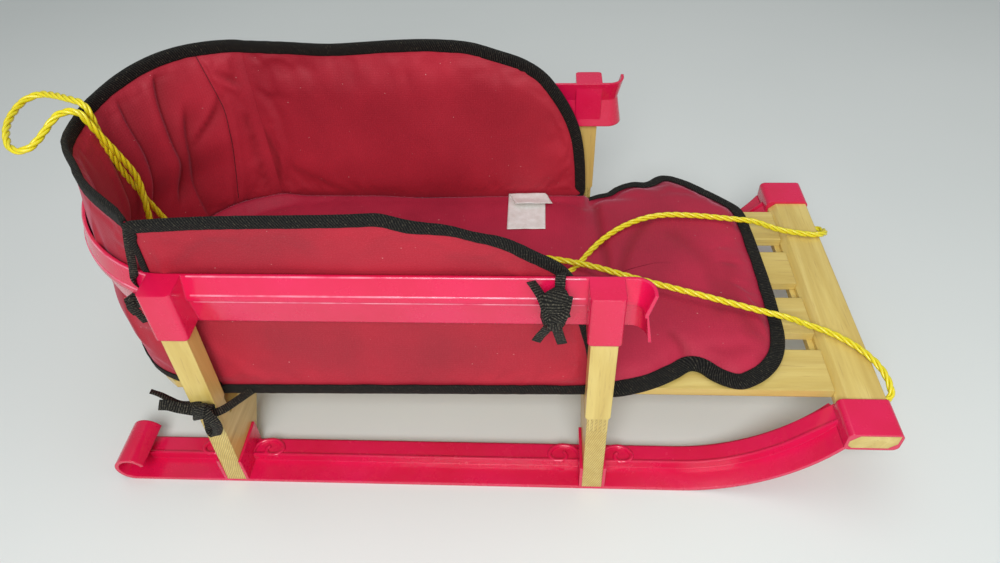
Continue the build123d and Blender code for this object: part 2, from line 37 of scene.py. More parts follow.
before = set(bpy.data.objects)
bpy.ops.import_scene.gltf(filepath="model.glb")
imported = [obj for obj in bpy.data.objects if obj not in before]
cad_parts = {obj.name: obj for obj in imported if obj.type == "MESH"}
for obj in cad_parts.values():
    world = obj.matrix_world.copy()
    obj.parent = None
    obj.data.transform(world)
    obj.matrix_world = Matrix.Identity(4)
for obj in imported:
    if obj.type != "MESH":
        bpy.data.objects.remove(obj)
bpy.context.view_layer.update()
low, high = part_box("upright_rear_right")
REAR_X = (low.x + high.x) / 2
MM = 0.001

# Camera, at the photograph's view
CAMERA_AT = (316.7, -599.2, 685.5)
CAMERA_YAW = 4.1              # degrees, to the sled's rear
CAMERA_PITCH = 43.8           # degrees, down
CAMERA_ROLL = -2.4
CAMERA_LENS = 26.46           # on a sensor 36 mm wide

FLOOR_HALF = 12.0             # studio's floor, in metres

# Tub plan, as in the model: straight sides and a round back
BACK_CENTRE = 42.0
BACK_R = 167.0
RAIL_HALF = 158.0

# Fabric seat
WALL_BASE = 104.0
WALL_T = 6.5
WALL_INSET = 4.2              # rail's inner face to the wall's middle
RIM_T = 3.6                   # padding squeezed in the binding
FLAT_RIM = 10.5               # width that stays squeezed
PUFF = 8.0                    # distance over which it then swells to full thickness
SIDE_REAR = -14.0
SIDE_FRONT = 374.0
FLOOR_BASE = 99.4
FLOOR_T = 12.0
BINDING_DEPTH = 11.0          # binding on the tub's inner side and below the pad
OUTER_DEPTH = 8.0             # on the tub's outer side
PAD_BINDING = 13.5            # on the foot pad's top
BINDING_T = 0.9

# Rope and webbing
ROPE_D = 7.3
ROPE_LAY = 34.0               # length of one full turn of a strand
WEBBING_T = 1.3

SIM_FRAMES = 18

# Rope route of the model, in millimetres from the rear posts
ROPE_ROUTE = [
    (644.3, -146, 90), (664, -145.8, 90.2), (664.5, -133, 99), (660, -116, 104.4), (649, -96, 106.2),
    (634, -79, 106.2), (616, -66, 106.2), (598, -60, 108), (580, -61, 118.3), (548, -54, 122),
    (486, -34, 126), (428, -14, 127), (366, 12, 128),
    (296, 32, 122), (214, 37, 119), (130, 30, 119), (46, 36, 119), (-22, 30, 120), (-72, 38, 128),
    (-98, 33, 150), (-107, 27, 190), (-112, 15, 232), (-113, 5, 272), (-113, 1, 304),
    (-112, 1, 324), (-115, 3, 337), (-131, 9, 338), (-156, 24, 334), (-175, 32, 331), (-187, 27, 329),
    (-190, 12, 328), (-187, -14, 326), (-177, -36, 324), (-168, -49, 322), (-156, -56, 322),
    (-146, -53, 323), (-141, -41, 326), (-138, -24, 331), (-131, -14, 337), (-115, -10, 337),
    (-110, -10, 324), (-106, -6, 304), (-104, 4, 276), (-103, 16, 242), (-105, 10, 206), (-107, 4, 172),
    (-100, -6, 140), (-78, -20, 122), (-32, -34, 119), (40, -30, 119), (120, -42, 119), (204, -36, 119),
    (276, -22, 119),
    (330, -6, 119), (358, 10, 118), (372, 36, 118), (394, 66, 119), (424, 92, 120), (462, 108, 121),
    (508, 106, 121), (552, 99.5, 120.5), (574, 97.4, 119.8), (592, 97, 112.3), (606, 95.5, 107.6),
    (628, 91.5, 106.1), (646, 88.2, 106), (658.5, 91, 105.2), (665, 103, 98.5), (663.5, 119.6, 90.2),
    (644.3, 120, 90)]


def spot(x, y, z):
    """A place in millimetres from the rear posts, in the frame's metres."""
    return Vector((x * MM + REAR_X, y * MM, z * MM))


def smoothstep(t):
    t = np.clip(t, 0.0, 1.0)
    return t * t * (3 - 2 * t)


def ripple(x, y, scale, seed):
    """Smooth seeded noise from about -1 to 1, over places in millimetres."""
    flat_x, flat_y = np.ravel(x), np.ravel(y)
    values = [noise.noise(Vector((a / scale, b / scale, seed))) for a, b in zip(flat_x, flat_y)]
    return np.array(values).reshape(np.shape(x)) * 2


def new_mesh(name, points, faces, uv=None):
    """A smooth mesh from points in millimetres, with its cloth places in metres as UV."""
    mesh = bpy.data.meshes.new(name)
    mesh.from_pydata([spot(*p) for p in points], [], faces)
    mesh.update()
    piece = bpy.data.objects.new(name, mesh)
    bpy.context.scene.collection.objects.link(piece)
    if uv is not None:
        layer = mesh.uv_layers.new(name="cloth")
        corners = np.empty(len(mesh.loops), int)
        mesh.loops.foreach_get("vertex_index", corners)
        layer.data.foreach_set("uv", (np.asarray(uv)[corners] * MM).ravel())
    mesh.shade_smooth()
    return piece


def grid_faces(rows, columns, start=0, flip=False, around=False, closed=False):
    """Quads of a grid of points, row by row; around joins the last column to the first, closed the last row."""
    faces = []
    for i in range(rows if closed else rows - 1):
        here, there = start + i * columns, start + (i + 1) % rows * columns
        for j in range(columns if around else columns - 1):
            k = (j + 1) % columns
            quad = (here + j, here + k, there + k, there + j)
            faces.append(quad[::-1] if flip else quad)
    return faces


def tube_faces(rows, sides, start=0):
    """Quads and two end caps of a tube, from its rings of points."""
    last = start + (rows - 1) * sides
    return grid_faces(rows, sides, start, around=True) + [
        tuple(range(start, start + sides))[::-1], tuple(range(last, last + sides))]


def unit(rows):
    """The rows' directions, each one long."""
    return rows / np.linalg.norm(rows, axis=1)[:, None]


def lengths_along(points):
    """Length from the start of a line to each of its points."""
    return np.r_[0, np.cumsum(np.linalg.norm(np.diff(points, axis=0), axis=1))]


def dress(piece, material, slot, *nodes):
    """Gives a new piece its finish and its body, and hides the model's nodes that it stands for."""
    piece.data.materials.clear()
    piece.data.materials.append(material)
    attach(piece, "root")
    if nodes:
        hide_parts(*nodes)
    return piece


class Finish:
    """A node material around one Principled shader."""

    def __init__(self, name, colour, roughness, **settings):
        self.material = bpy.data.materials.new(name)
        self.material.use_nodes = True
        self.nodes = self.material.node_tree.nodes
        self.links = self.material.node_tree.links
        self.shader = self.nodes["Principled BSDF"]
        self.shader.inputs["Base Color"].default_value = (*colour, 1)
        self.shader.inputs["Roughness"].default_value = roughness
        for key, value in settings.items():
            self.shader.inputs[key.replace("_", " ")].default_value = value

    def add(self, kind, **settings):
        node = self.nodes.new("ShaderNode" + kind)
        for key, value in settings.items():
            setattr(node, key, value)
        return node

    def feed(self, socket, value):
        """Links a socket to another, or sets its constant."""
        if isinstance(value, bpy.types.NodeSocket):
            self.links.new(value, socket)
        else:
            socket.default_value = value

    def put(self, node, **values):
        """Feeds a node's inputs by name, with _ for a space."""
        for key, value in values.items():
            self.feed(node.inputs[key.replace("_", " ")], value)
        return node

    def stretch(self, vector, scale=(1, 1, 1), turn=(0, 0, 0)):
        return self.put(self.add("Mapping"), Vector=vector, Scale=scale, Rotation=turn).outputs["Vector"]

    def place(self, turn=(0, 0, 0), source="Object"):
        """Coordinates, turned; source is Object or UV, both in metres."""
        return self.stretch(self.add("TexCoord").outputs[source], turn=turn)

    def noise(self, vector, scale, detail=2.0, roughness=0.5, distortion=0.0):
        return self.put(self.add("TexNoise"), Vector=vector, Scale=scale, Detail=detail, Roughness=roughness,
                        Distortion=distortion).outputs["Fac"]

    def wave(self, vector, scale, direction, distortion, detail, detail_scale):
        return self.put(self.add("TexWave", bands_direction=direction), Vector=vector, Scale=scale,
                        Distortion=distortion, Detail=detail, Detail_Scale=detail_scale).outputs["Fac"]

    def ramp(self, value, *stops):
        """Colour stops as (place, colour) or (place, grey)."""
        node = self.put(self.add("ValToRGB"), Fac=value)
        elements = node.color_ramp.elements
        while len(elements) < len(stops):
            elements.new(0.5)
        for element, (at, colour) in zip(elements, stops):
            element.position = at
            element.color = (*colour, 1) if isinstance(colour, tuple) else (colour, colour, colour, 1)
        return node.outputs["Color"]

    def mix(self, factor, a, b):
        node = self.add("Mix", data_type="RGBA")
        for index, value in ((0, factor), (6, a), (7, b)):
            self.feed(node.inputs[index], (*value, 1) if isinstance(value, tuple) else value)
        return node.outputs[2]

    def math(self, operation, a, b=0.0):
        node = self.add("Math", operation=operation)
        self.feed(node.inputs[0], a)
        self.feed(node.inputs[1], b)
        return node.outputs["Value"]

    def bump(self, height, distance, strength=1.0, normal=None):
        node = self.put(self.add("Bump"), Height=height, Distance=distance, Strength=strength)
        if normal is not None:
            self.links.new(normal, node.inputs["Normal"])
        return node.outputs["Normal"]

    def soft_edges(self, radius):
        """Normals rounded over the model's sharp edges."""
        return self.put(self.add("Bevel", samples=6), Radius=radius).outputs["Normal"]

    def use(self, colour=None, roughness=None, normal=None):
        for key, value in (("Base Color", colour), ("Roughness", roughness), ("Normal", normal)):
            if value is not None:
                self.links.new(value, self.shader.inputs[key])
        return self.material


def plastic_finish(name="red_plastic", soft=0.0018):
    """Satin crimson moulding with faint flow marks, fine grain and rubbed patches; soft rounds its edges."""
    f = Finish(name, (0.74, 0.008, 0.080), 0.26, Specular_IOR_Level=0.4, Coat_Weight=0.5,
               Coat_Roughness=0.12)
    here = f.place()
    cloud = f.noise(here, 9, 4, 0.6)
    colour = f.ramp(cloud, (0.30, (0.66, 0.005, 0.052)), (0.55, (0.74, 0.007, 0.078)),
                    (0.8, (0.80, 0.011, 0.110)))
    rubbed = f.ramp(f.noise(here, 60, 5, 0.75), (0.66, 0.0), (0.80, 1.0))
    colour = f.mix(f.math("MULTIPLY", rubbed, 0.15), colour, (0.80, 0.35, 0.42))
    roughness = f.ramp(f.noise(here, 35, 6, 0.7), (0.3, 0.18), (0.75, 0.34))
    grain = f.noise(here, 1400, 2)
    waves = f.noise(here, 38, 3)
    normal = f.bump(grain, 0.00004, 0.5, f.bump(waves, 0.0006, 0.25, f.soft_edges(soft) if soft else None))
    return f.use(colour, roughness, normal)


def rail_highlight_finish():
    """The moulding's raised lines: a painted highlight in paler pink, and glossier."""
    f = Finish("red_plastic_lines", (0.86, 0.16, 0.25), 0.2, Coat_Weight=0.6, Coat_Roughness=0.1)
    # Painted highlight: pale pink tones that vary along the raised lines
    highlight_tone = f.noise(f.place(), 45, 3, 0.6)
    return f.use(f.ramp(highlight_tone, (0.35, (0.80, 0.05, 0.14)), (0.65, (0.88, 0.26, 0.36))))


def wood_finish(name, turn, along=5.0, across=70.0, tint=1.0, cut=False):
    """Clear-varnished pale hardwood; turn brings its grain onto the local X axis, cut adds the growth
    lines that show on the outer faces of the feet."""
    f = Finish(name, (0.70, 0.50, 0.16), 0.40, Coat_Weight=0.25, Coat_Roughness=0.25)
    here = f.place(turn)
    fibre = f.noise(f.stretch(here, (along, across, across)), 1.0, 8, 0.62, 0.6)
    bands = f.noise(f.stretch(here, (2.2, 16, 16)), 1.3, 4, 0.55, 1.6)
    pore = f.ramp(f.noise(f.stretch(here, (30, 620, 620)), 1.0, 3, 0.5), (0.60, 0.0), (0.72, 1.0))
    pale, mid, dark = (tuple(c * tint for c in colour) for colour in
                       ((0.74, 0.585, 0.195), (0.67, 0.505, 0.145), (0.50, 0.335, 0.075)))
    colour = f.ramp(bands, (0.28, pale), (0.50, mid), (0.62, pale), (0.78, dark))
    colour = f.mix(f.ramp(fibre, (0.35, 0.0), (0.68, 0.62)), colour, dark)
    colour = f.mix(f.math("MULTIPLY", pore, 0.35), colour, (0.36, 0.19, 0.06))
    if cut:
        rings = f.wave(f.place((0, radians(-24), 0)), 150, "X", 5.0, 2.0, 0.35)
        facing = f.put(f.add("SeparateXYZ"), Vector=f.add("NewGeometry").outputs["Normal"]).outputs["Y"]
        outer = f.ramp(f.math("ABSOLUTE", facing), (0.80, 0.0), (0.95, 0.75))
        lines = f.math("MULTIPLY", f.ramp(rings, (0.70, 0.0), (0.92, 1.0)), outer)
        colour = f.mix(lines, colour, (0.30, 0.17, 0.03))
    roughness = f.ramp(fibre, (0.3, 0.30), (0.7, 0.44))
    normal = f.bump(fibre, 0.00018, 0.5, f.soft_edges(0.0015))
    return f.use(colour, roughness, normal)


def weave_height(f, pitch):
    """Threads over and under each other at a pitch in millimetres, and the cloth's own coordinates."""
    cloth = f.place(source="UV")
    bands = 0.1 / (pitch * MM)
    warp, weft = (f.wave(cloth, bands, direction, 0.6, 1.0, 2.0) for direction in "XY")
    return f.math("MULTIPLY", warp, weft), cloth


def fabric_finish(name="red_fabric", magenta=0.0):
    """Woven nylon: fine threads, lint specks, faded patches, painted shade in its folds from the points' shade
    values, a pinkish sheen.
    """
    base = (0.40 + 0.02 * magenta, 0.013, 0.030 + 0.030 * magenta)
    f = Finish(name, base, 0.62, Sheen_Weight=0.35, Sheen_Roughness=0.35, Sheen_Tint=(1.0, 0.45, 0.60, 1),
               Specular_IOR_Level=0.35)
    threads, cloth = weave_height(f, 0.9)
    here = f.place()
    cloud = f.noise(here, 7, 4, 0.6)
    dark, light = tuple(c * 0.82 for c in base), tuple(c * 1.14 for c in base)
    colour = f.ramp(cloud, (0.35, dark), (0.65, light))
    speckle = f.noise(cloth, 900, 2, 0.7)
    colour = f.mix(f.ramp(speckle, (0.50, 0.0), (0.78, 0.55)), colour, (0.62, 0.045, 0.085))
    lint = f.ramp(f.noise(cloth, 260, 1, 0.5), (0.775, 0.0), (0.80, 1.0))
    colour = f.mix(f.math("MULTIPLY", lint, 0.6), colour, (0.78, 0.40, 0.38))
    # Painted shade: darkens towards a deep red where the piece's points store shade
    shade = f.add("Attribute", attribute_name="shade").outputs["Fac"]
    colour = f.mix(f.math("MULTIPLY", shade, 0.72), colour, (0.14, 0.003, 0.006))
    creases = f.noise(here, 55, 4, 0.6)
    normal = f.bump(threads, 0.00016, 0.55, f.bump(creases, 0.0014, 0.3))
    return f.use(colour, f.ramp(cloud, (0.3, 0.56), (0.7, 0.72)), normal)


def tape_finish(name, roughness, sheen_roughness, specular, turn, ribs, threads, flecks, tint, tan, relief):
    """Black tape with ribs turned across its length and a few tan flecks. ribs is (scale, distortion,
    detail's scale), threads (scale, share of the ribs' relief), flecks (scale, from, to), tint (from,
    colour) and relief (distance, strength)."""
    f = Finish(name, (0.008, 0.008, 0.008), roughness, Sheen_Weight=0.02, Sheen_Roughness=sheen_roughness,
               Specular_IOR_Level=specular)
    tape = f.place((0, 0, radians(turn)), "UV")
    rib = f.wave(tape, ribs[0], "X", ribs[1], 3.0, ribs[2])
    thread = f.wave(tape, threads[0], "Y", 1.5, 2.0, 3.0)
    fleck = f.ramp(f.noise(tape, flecks[0], 3, 0.8), (flecks[1], 0.0), (flecks[2], 1.0))
    colour = f.ramp(rib, (tint[0], (0.0015, 0.0015, 0.0015)), (0.98, tint[1]))
    colour = f.mix(f.math("MULTIPLY", f.math("MULTIPLY", fleck, rib), 0.8), colour, tan)
    normal = f.bump(f.math("ADD", rib, f.math("MULTIPLY", thread, threads[1])), *relief)
    return f.use(colour, None, normal)


def rope_finish():
    """Glossy yellow plastic fibres, lying along each strand."""
    f = Finish("yellow_rope", (0.80, 0.68, 0.012), 0.36, Subsurface_Weight=0.12, Subsurface_Scale=0.002,
               Coat_Weight=0.3, Coat_Roughness=0.3)
    fibre = f.noise(f.stretch(f.place(source="UV"), (60, 2600, 1), (0, 0, radians(3))), 1.0, 4, 0.6)
    colour = f.ramp(fibre, (0.30, (0.74, 0.60, 0.006)), (0.55, (0.82, 0.71, 0.012)), (0.80, (0.90, 0.86, 0.20)))
    normal = f.bump(fibre, 0.00007, 0.5)
    return f.use(colour, f.ramp(fibre, (0.3, 0.34), (0.7, 0.20)), normal)


def label_finish():
    """Plain white woven label cloth, slightly soiled."""
    f = Finish("white_cloth", (0.80, 0.78, 0.74), 0.7, Sheen_Weight=0.2)
    threads, cloth = weave_height(f, 0.35)
    soil = f.noise(cloth, 90, 4, 0.6)
    colour = f.ramp(soil, (0.35, (0.84, 0.83, 0.80)), (0.7, (0.70, 0.67, 0.62)))
    return f.use(colour, None, f.bump(threads, 0.00008, 0.5))


def studio():
    """Plain pale floor, a soft sky and three lamps."""
    scene = bpy.context.scene
    scene.view_settings.view_transform = "Standard"
    f = Finish("floor", (0.74, 0.77, 0.75), 0.85)
    f.use(f.ramp(f.noise(f.place(), 1.2, 3, 0.5), (0.3, (0.71, 0.745, 0.725)), (0.7, (0.76, 0.79, 0.77))))
    mesh = bpy.data.meshes.new("floor")
    corners = [(FLOOR_HALF * a, FLOOR_HALF * b, 0) for a, b in ((-1, -1), (1, -1), (1, 1), (-1, 1))]
    mesh.from_pydata(corners, [], [(0, 1, 2, 3)])
    floor = bpy.data.objects.new("floor", mesh)
    floor.data.materials.append(f.material)
    scene.collection.objects.link(floor)
    world = bpy.data.worlds.new("studio")
    world.use_nodes = True
    sky = world.node_tree.nodes["Background"].inputs
    sky["Color"].default_value = (0.86, 0.90, 0.92, 1)
    sky["Strength"].default_value = 0.36
    scene.world = world
    for name, at, energy, side in (("key", (250, -1350, 1350), 25, 0.8), ("top", (150, 200, 2100), 8, 1.5),
                                   ("edge", (1900, -300, 1300), 3, 1.0)):
        lamp = bpy.data.lights.new(name, "AREA")
        lamp.energy = energy
        lamp.size = side
        holder = bpy.data.objects.new(name, lamp)
        holder.location = spot(*at)
        aim = spot(260, 0, 120) - holder.location
        holder.rotation_euler = aim.to_track_quat("-Z", "Y").to_euler()
        scene.collection.objects.link(holder)


def camera():
    """Camera at the photograph's view."""
    yaw, pitch, roll = radians(CAMERA_YAW), radians(CAMERA_PITCH), radians(CAMERA_ROLL)
    ahead = Vector((-sin(yaw) * cos(pitch), cos(yaw) * cos(pitch), -sin(pitch)))
    level = ahead.cross(Vector((0, 0, 1))).normalized()
    upright = level.cross(ahead)
    right = cos(roll) * level + sin(roll) * upright
    top = cos(roll) * upright - sin(roll) * level
    lens = bpy.data.cameras.new("camera")
    lens.lens = CAMERA_LENS
    lens.sensor_width = 36
    lens.clip_start = 0.02
    holder = bpy.data.objects.new("camera", lens)
    turn = Matrix((right, top, -ahead)).transposed()
    holder.matrix_world = Matrix.Translation(spot(*CAMERA_AT)) @ turn.to_4x4()
    bpy.context.scene.collection.objects.link(holder)
    bpy.context.scene.camera = holder


def rope_line():
    """The rope's centre line: a smooth spline over its route, as many points in the frame's metres."""
    curve = bpy.data.curves.new("rope_line", "CURVE")
    curve.dimensions = "3D"
    curve.resolution_u = 14
    spline = curve.splines.new("NURBS")
    spline.points.add(len(ROPE_ROUTE) - 1)
    for point, place in zip(spline.points, ROPE_ROUTE):
        point.co = (*spot(*place), 1)
    spline.order_u = 3
    spline.use_endpoint_u = True
    guide = bpy.data.objects.new("rope_line", curve)
    bpy.context.scene.collection.objects.link(guide)
    mesh = bpy.data.meshes.new_from_object(guide)
    points = np.array([v.co for v in mesh.vertices])
    bpy.data.objects.remove(guide)
    bpy.data.curves.remove(curve)
    bpy.data.meshes.remove(mesh)
    return points


def evenly(points, step):
    """The same line with points a fixed step apart, and the length from its start to each."""
    lengths = lengths_along(points)
    wanted = np.linspace(0, lengths[-1], int(lengths[-1] / step) + 1)
    return np.array([np.interp(wanted, lengths, axis) for axis in points.T]).T, wanted


def carried_frames(points):
    """Directions along a line, and two across it that don't spin about it."""
    along = unit(np.gradient(points, axis=0))
    across = np.zeros_like(along)
    across[0] = np.cross(along[0], (0.13, 0.2, 1.0))
    for i in range(1, len(points)):
        across[i] = across[i - 1] - along[i] * np.dot(across[i - 1], along[i])
        across[i] /= np.linalg.norm(across[i])
    across[0] /= np.linalg.norm(across[0])
    return along, across, np.cross(along, across)


def make_rope(material):
    """Three strands laid round each other along the rope's line."""
    line, run = evenly(rope_line(), 1.7 * MM)
    along, side, over = carried_frames(line)
    sides = 9
    strand_r = 0.24 * ROPE_D * MM
    lay_r = ROPE_D / 2 * MM - strand_r
    ring = np.linspace(0, 2 * pi, sides, endpoint=False)
    points, faces, uv = [], [], []
    for strand in range(3):
        angle = 2 * pi * (run / (ROPE_LAY * MM) + strand / 3)
        out = np.cos(angle)[:, None] * side + np.sin(angle)[:, None] * over
        swing = np.cross(along, out)
        fuller = 1.0 + 0.05 * np.sin(run * 190 + strand * 2.1) + 0.03 * np.sin(run * 437 + strand)
        start = len(points)
        for i in range(len(line)):
            for j, turn in enumerate(ring):
                reach = strand_r * fuller[i] * (cos(turn) * out[i] * 0.94 + sin(turn) * swing[i] * 1.10)
                points.append(line[i] + lay_r * out[i] + reach)
                uv.append((run[i] / MM, turn / (2 * pi) * sides))
        faces += tube_faces(len(line), sides, start)
    shifted = [((p[0] - REAR_X) / MM, p[1] / MM, p[2] / MM) for p in points]
    rope = new_mesh("tow_rope_strands", shifted, faces, uv)
    dress(rope, material, "yellow_rope", "tow_rope")
    print("rope length", round(run[-1], 4), "points", len(line))


def smooth_through(table, wanted):
    """Values at the wanted places, on a smooth curve through a short table of (place, value)."""
    places = np.array([row[0] for row in table], float)
    values = np.array([row[1:] for row in table], float)
    slopes = np.gradient(values, places, axis=0)
    wanted = np.clip(np.asarray(wanted, float), places[0], places[-1])
    i = np.clip(np.searchsorted(places, wanted, "right") - 1, 0, len(places) - 2)
    gap = (places[i + 1] - places[i])[..., None]
    t = (wanted - places[i])[..., None] / gap
    a, b = values[i], values[i + 1]
    found = ((2 * t ** 3 - 3 * t ** 2 + 1) * a + (t ** 3 - 2 * t ** 2 + t) * gap * slopes[i]
             + (3 * t ** 2 - 2 * t ** 3) * b + (t ** 3 - t ** 2) * gap * slopes[i + 1])
    return found[..., 0] if found.shape[-1] == 1 else found


def smooth_line(corners, step):
    """Points a step apart on a smooth curve through a few corners."""
    corners = np.array(corners, float)
    lengths = lengths_along(corners)
    fine = np.linspace(0, lengths[-1], 40 * len(corners))
    return evenly(smooth_through(np.column_stack([lengths, corners]), fine), step)[0]


def distance_to(outline, x, y):
    """Distance from flat places to the nearest stretch of an outline."""
    found = np.full(np.shape(x), 1e9)
    for (ax, ay), (bx, by) in zip(outline[:-1], outline[1:]):
        dx, dy = bx - ax, by - ay
        t = np.clip(((x - ax) * dx + (y - ay) * dy) / max(dx * dx + dy * dy, 1e-9), 0, 1)
        found = np.minimum(found, np.hypot(x - ax - t * dx, y - ay - t * dy))
    return found


def swell(distance, full):
    """Thickness of padding at a distance from its bound rim."""
    return RIM_T + (full - RIM_T) * (1 - np.exp(-(np.maximum(distance - FLAT_RIM, 0) / PUFF) ** 1.5))


def shade_points(piece, values):
    """Stores each point's painted shade, strongest in the folds, which darkens the fabric's colour."""
    layer = piece.data.attributes.new("shade", "FLOAT", "POINT")
    layer.data.foreach_set("value", np.clip(values, 0.0, 1.0).ravel())


def rise_rows(count):
    """Shares of a wall's height, closer together at its bound edges."""
    even = np.linspace(0, 1, count)
    return (0.3 * even + 0.35 * (1 - np.cos(pi * even)))[None, :]


def padded_shell(name, middle, normal, thickness, cloth, shade):
    """A closed pad from a grid of middle points; the first half of its points is the normal's side."""
    rows, columns = thickness.shape
    half = normal * thickness[..., None] / 2
    points = np.concatenate([(middle + half).reshape(-1, 3), (middle - half).reshape(-1, 3)])
    count = rows * columns
    faces = grid_faces(rows, columns) + grid_faces(rows, columns, count, flip=True)
    rim = ([(0, j) for j in range(columns)] + [(i, columns - 1) for i in range(1, rows)]
           + [(rows - 1, j) for j in range(columns - 2, -1, -1)] + [(i, 0) for i in range(rows - 2, 0, -1)])
    index = [i * columns + j for i, j in rim]
    for a, b in zip(index, index[1:] + index[:1]):
        faces.append((b, a, a + count, b + count))
    flat = np.concatenate([cloth.reshape(-1, 2)] * 2)
    piece = new_mesh(name, points, faces, flat)
    shade_points(piece, np.concatenate([shade.ravel()] * 2))
    return piece


def seam_hold(rim):
    """How firmly both sides of a pad are held, at distances from its rim."""
    return np.concatenate([smoothstep((19 - rim.ravel()) / 9)] * 2)


def simulate(piece, held, pressure, growth, cap):
    """Cloth held along its seams swells and puckers a little; no point moves further than the cap."""
    scene = bpy.context.scene
    before = np.array([v.co for v in piece.data.vertices])
    group = piece.vertex_groups.new(name="held")
    for i in np.flatnonzero(held > 0.01):
        group.add([int(i)], float(held[i]), "REPLACE")
    cloth = piece.modifiers.new("cloth", "CLOTH")
    settings = {"quality": 6, "mass": 0.15, "use_pressure": True, "uniform_pressure_force": pressure,
                "shrink_min": -growth, "tension_stiffness": 12, "compression_stiffness": 12,
                "bending_stiffness": 0.15, "vertex_group_mass": "held"}
    for key, value in settings.items():
        setattr(cloth.settings, key, value)
    cloth.settings.effector_weights.gravity = 0
    cloth.collision_settings.use_collision = False
    for step in range(1, SIM_FRAMES + 1):
        scene.frame_set(step)
    found = piece.evaluated_get(bpy.context.evaluated_depsgraph_get())
    after = np.array([v.co for v in found.data.vertices])
    piece.modifiers.remove(cloth)
    scene.frame_set(1)
    moved = after - before
    length = np.linalg.norm(moved, axis=1)[:, None]
    moved *= np.tanh(length / (cap * MM)) * cap * MM / np.maximum(length, 1e-9)
    piece.data.vertices.foreach_set("co", (before + moved).ravel())
    piece.data.update()


def finish_pad(piece, material, fill, *nodes):
    """Makes a shaped pad a soft, smooth piece that stands for the model's nodes."""
    dress(outward(piece), material, "red_fabric", *nodes)
    modifier = piece.modifiers.new("smooth", "SUBSURF")
    modifier.levels = modifier.render_levels = 1


def tape(name, edge, normal, inner, outer, seed, around=False):
    """Binding folded over an edge; the cloth's outer side is along normal, and the edge runs so that
    the cloth is on the side of normal x direction. inner and outer are its depths on the two sides."""
    count = len(edge)
    run = lengths_along(edge)
    ahead = (np.roll(edge, -1, axis=0) - np.roll(edge, 1, axis=0)) if around else np.gradient(edge, axis=0)
    inward = unit(np.cross(normal, unit(ahead)))
    fade = smoothstep(np.minimum(run, run[-1] - run) / 30) if around else 1.0
    wander, ripples = (fade * np.array([noise.noise(Vector((r / size, seed, layer))) for r in run])
                       for size, layer in ((24, 0.0), (8, 7.0)))
    half = RIM_T / 2 + 0.35 + 0.5 * ripples
    deep = {1: np.broadcast_to(outer, count) + 0.7 * wander, -1: np.broadcast_to(inner, count) - 0.7 * wander}
    section = [(along, side * across) for side in (1, -1) for along, across in FOLD[::side]]
    points, cloth = [], []
    for i in range(count):
        for cover, turn in ((BINDING_T, 1), (0.0, -1)):
            for k, (along, across) in enumerate(section[::turn]):
                side = 1 if across > 0 else -1
                reach = half[i] * across + cover * side * min(1.0, 2 * abs(across))
                points.append(edge[i] + inward[i] * (deep[side][i] * along - (cover if along < 0 else 0))
                              + normal[i] * reach)
                cloth.append((run[i], (k if turn > 0 else len(section) - k) * 2.2))
    columns = 2 * len(section)
    faces = grid_faces(count, columns, around=True, closed=True) if around else tube_faces(count, columns)
    return dress(outward(new_mesh(name, points, faces, cloth)), BINDING, "black_webbing")


def outward(piece):
    """Turns a closed piece's faces outward."""
    shape = bmesh.new()
    shape.from_mesh(piece.data)
    bmesh.ops.recalc_face_normals(shape, faces=shape.faces)
    shape.to_mesh(piece.data)
    shape.free()
    piece.data.shade_smooth()
    return piece


def tubes(name, lines, radius, sides=10):
    """Round tubes with rounded ends along lines of points in millimetres, as one piece."""
    points, faces = [], []
    for line in lines:
        line = np.array(line, float)
        along, side, over = carried_frames(line)
        steps = [(0, -1.0, 0.05), (0, -0.7, 0.7)] + [(i, 0.0, 1.0) for i in range(len(line))]
        steps += [(-1, 0.7, 0.7), (-1, 1.0, 0.05)]
        start = len(points)
        for i, ahead, share in steps:
            for turn in np.linspace(0, 2 * pi, sides, endpoint=False):
                reach = cos(turn) * side[i] + sin(turn) * over[i]
                points.append(line[i] + along[i] * ahead * radius + reach * share * radius)
        faces += tube_faces(len(steps), sides, start)
    return outward(new_mesh(name, points, faces))


def arc_through(a, b, c, count):
    """Flat points on the arc from a through b to c."""
    a, b, c = complex(*a), complex(*b), complex(*c)
    lean = (c - a) / (b - a)
    centre = a + (b - a) * (lean - abs(lean) ** 2) / (2j * lean.imag)
    first, middle, last = np.angle([a - centre, b - centre, c - centre])
    turn = (last - first) % (2 * pi)
    if (middle - first) % (2 * pi) > turn:
        turn -= 2 * pi
    places = centre + (a - centre) * np.exp(1j * turn * np.linspace(0, 1, count))
    return list(zip(places.real, places.imag))


# Scroll of the model beside a foot: forward from the pocket's fin and inward from the scroll's centre
SCROLL_START = (-1.0, -4.5)
SCROLL_ARCS = [(2.0, 4.6, 12.5, 9.6), (24.6, 7.4, 30.6, -0.6), (27.6, -6.6, 19.8, -8.2),
               (12.4, -3.6, 14.6, 1.2)]
POSTS = (0.0, 373.4)
POCKET = 13.0                 # middle of a foot to its pocket's outer face
BAND_TOP = 12.0
BEND = (463.1, 170.0)         # centre of the upturned front's bend
BAND_FADE = 42.0              # degrees up the bend where the band begins to thin out
BAND_LAST = 59.0


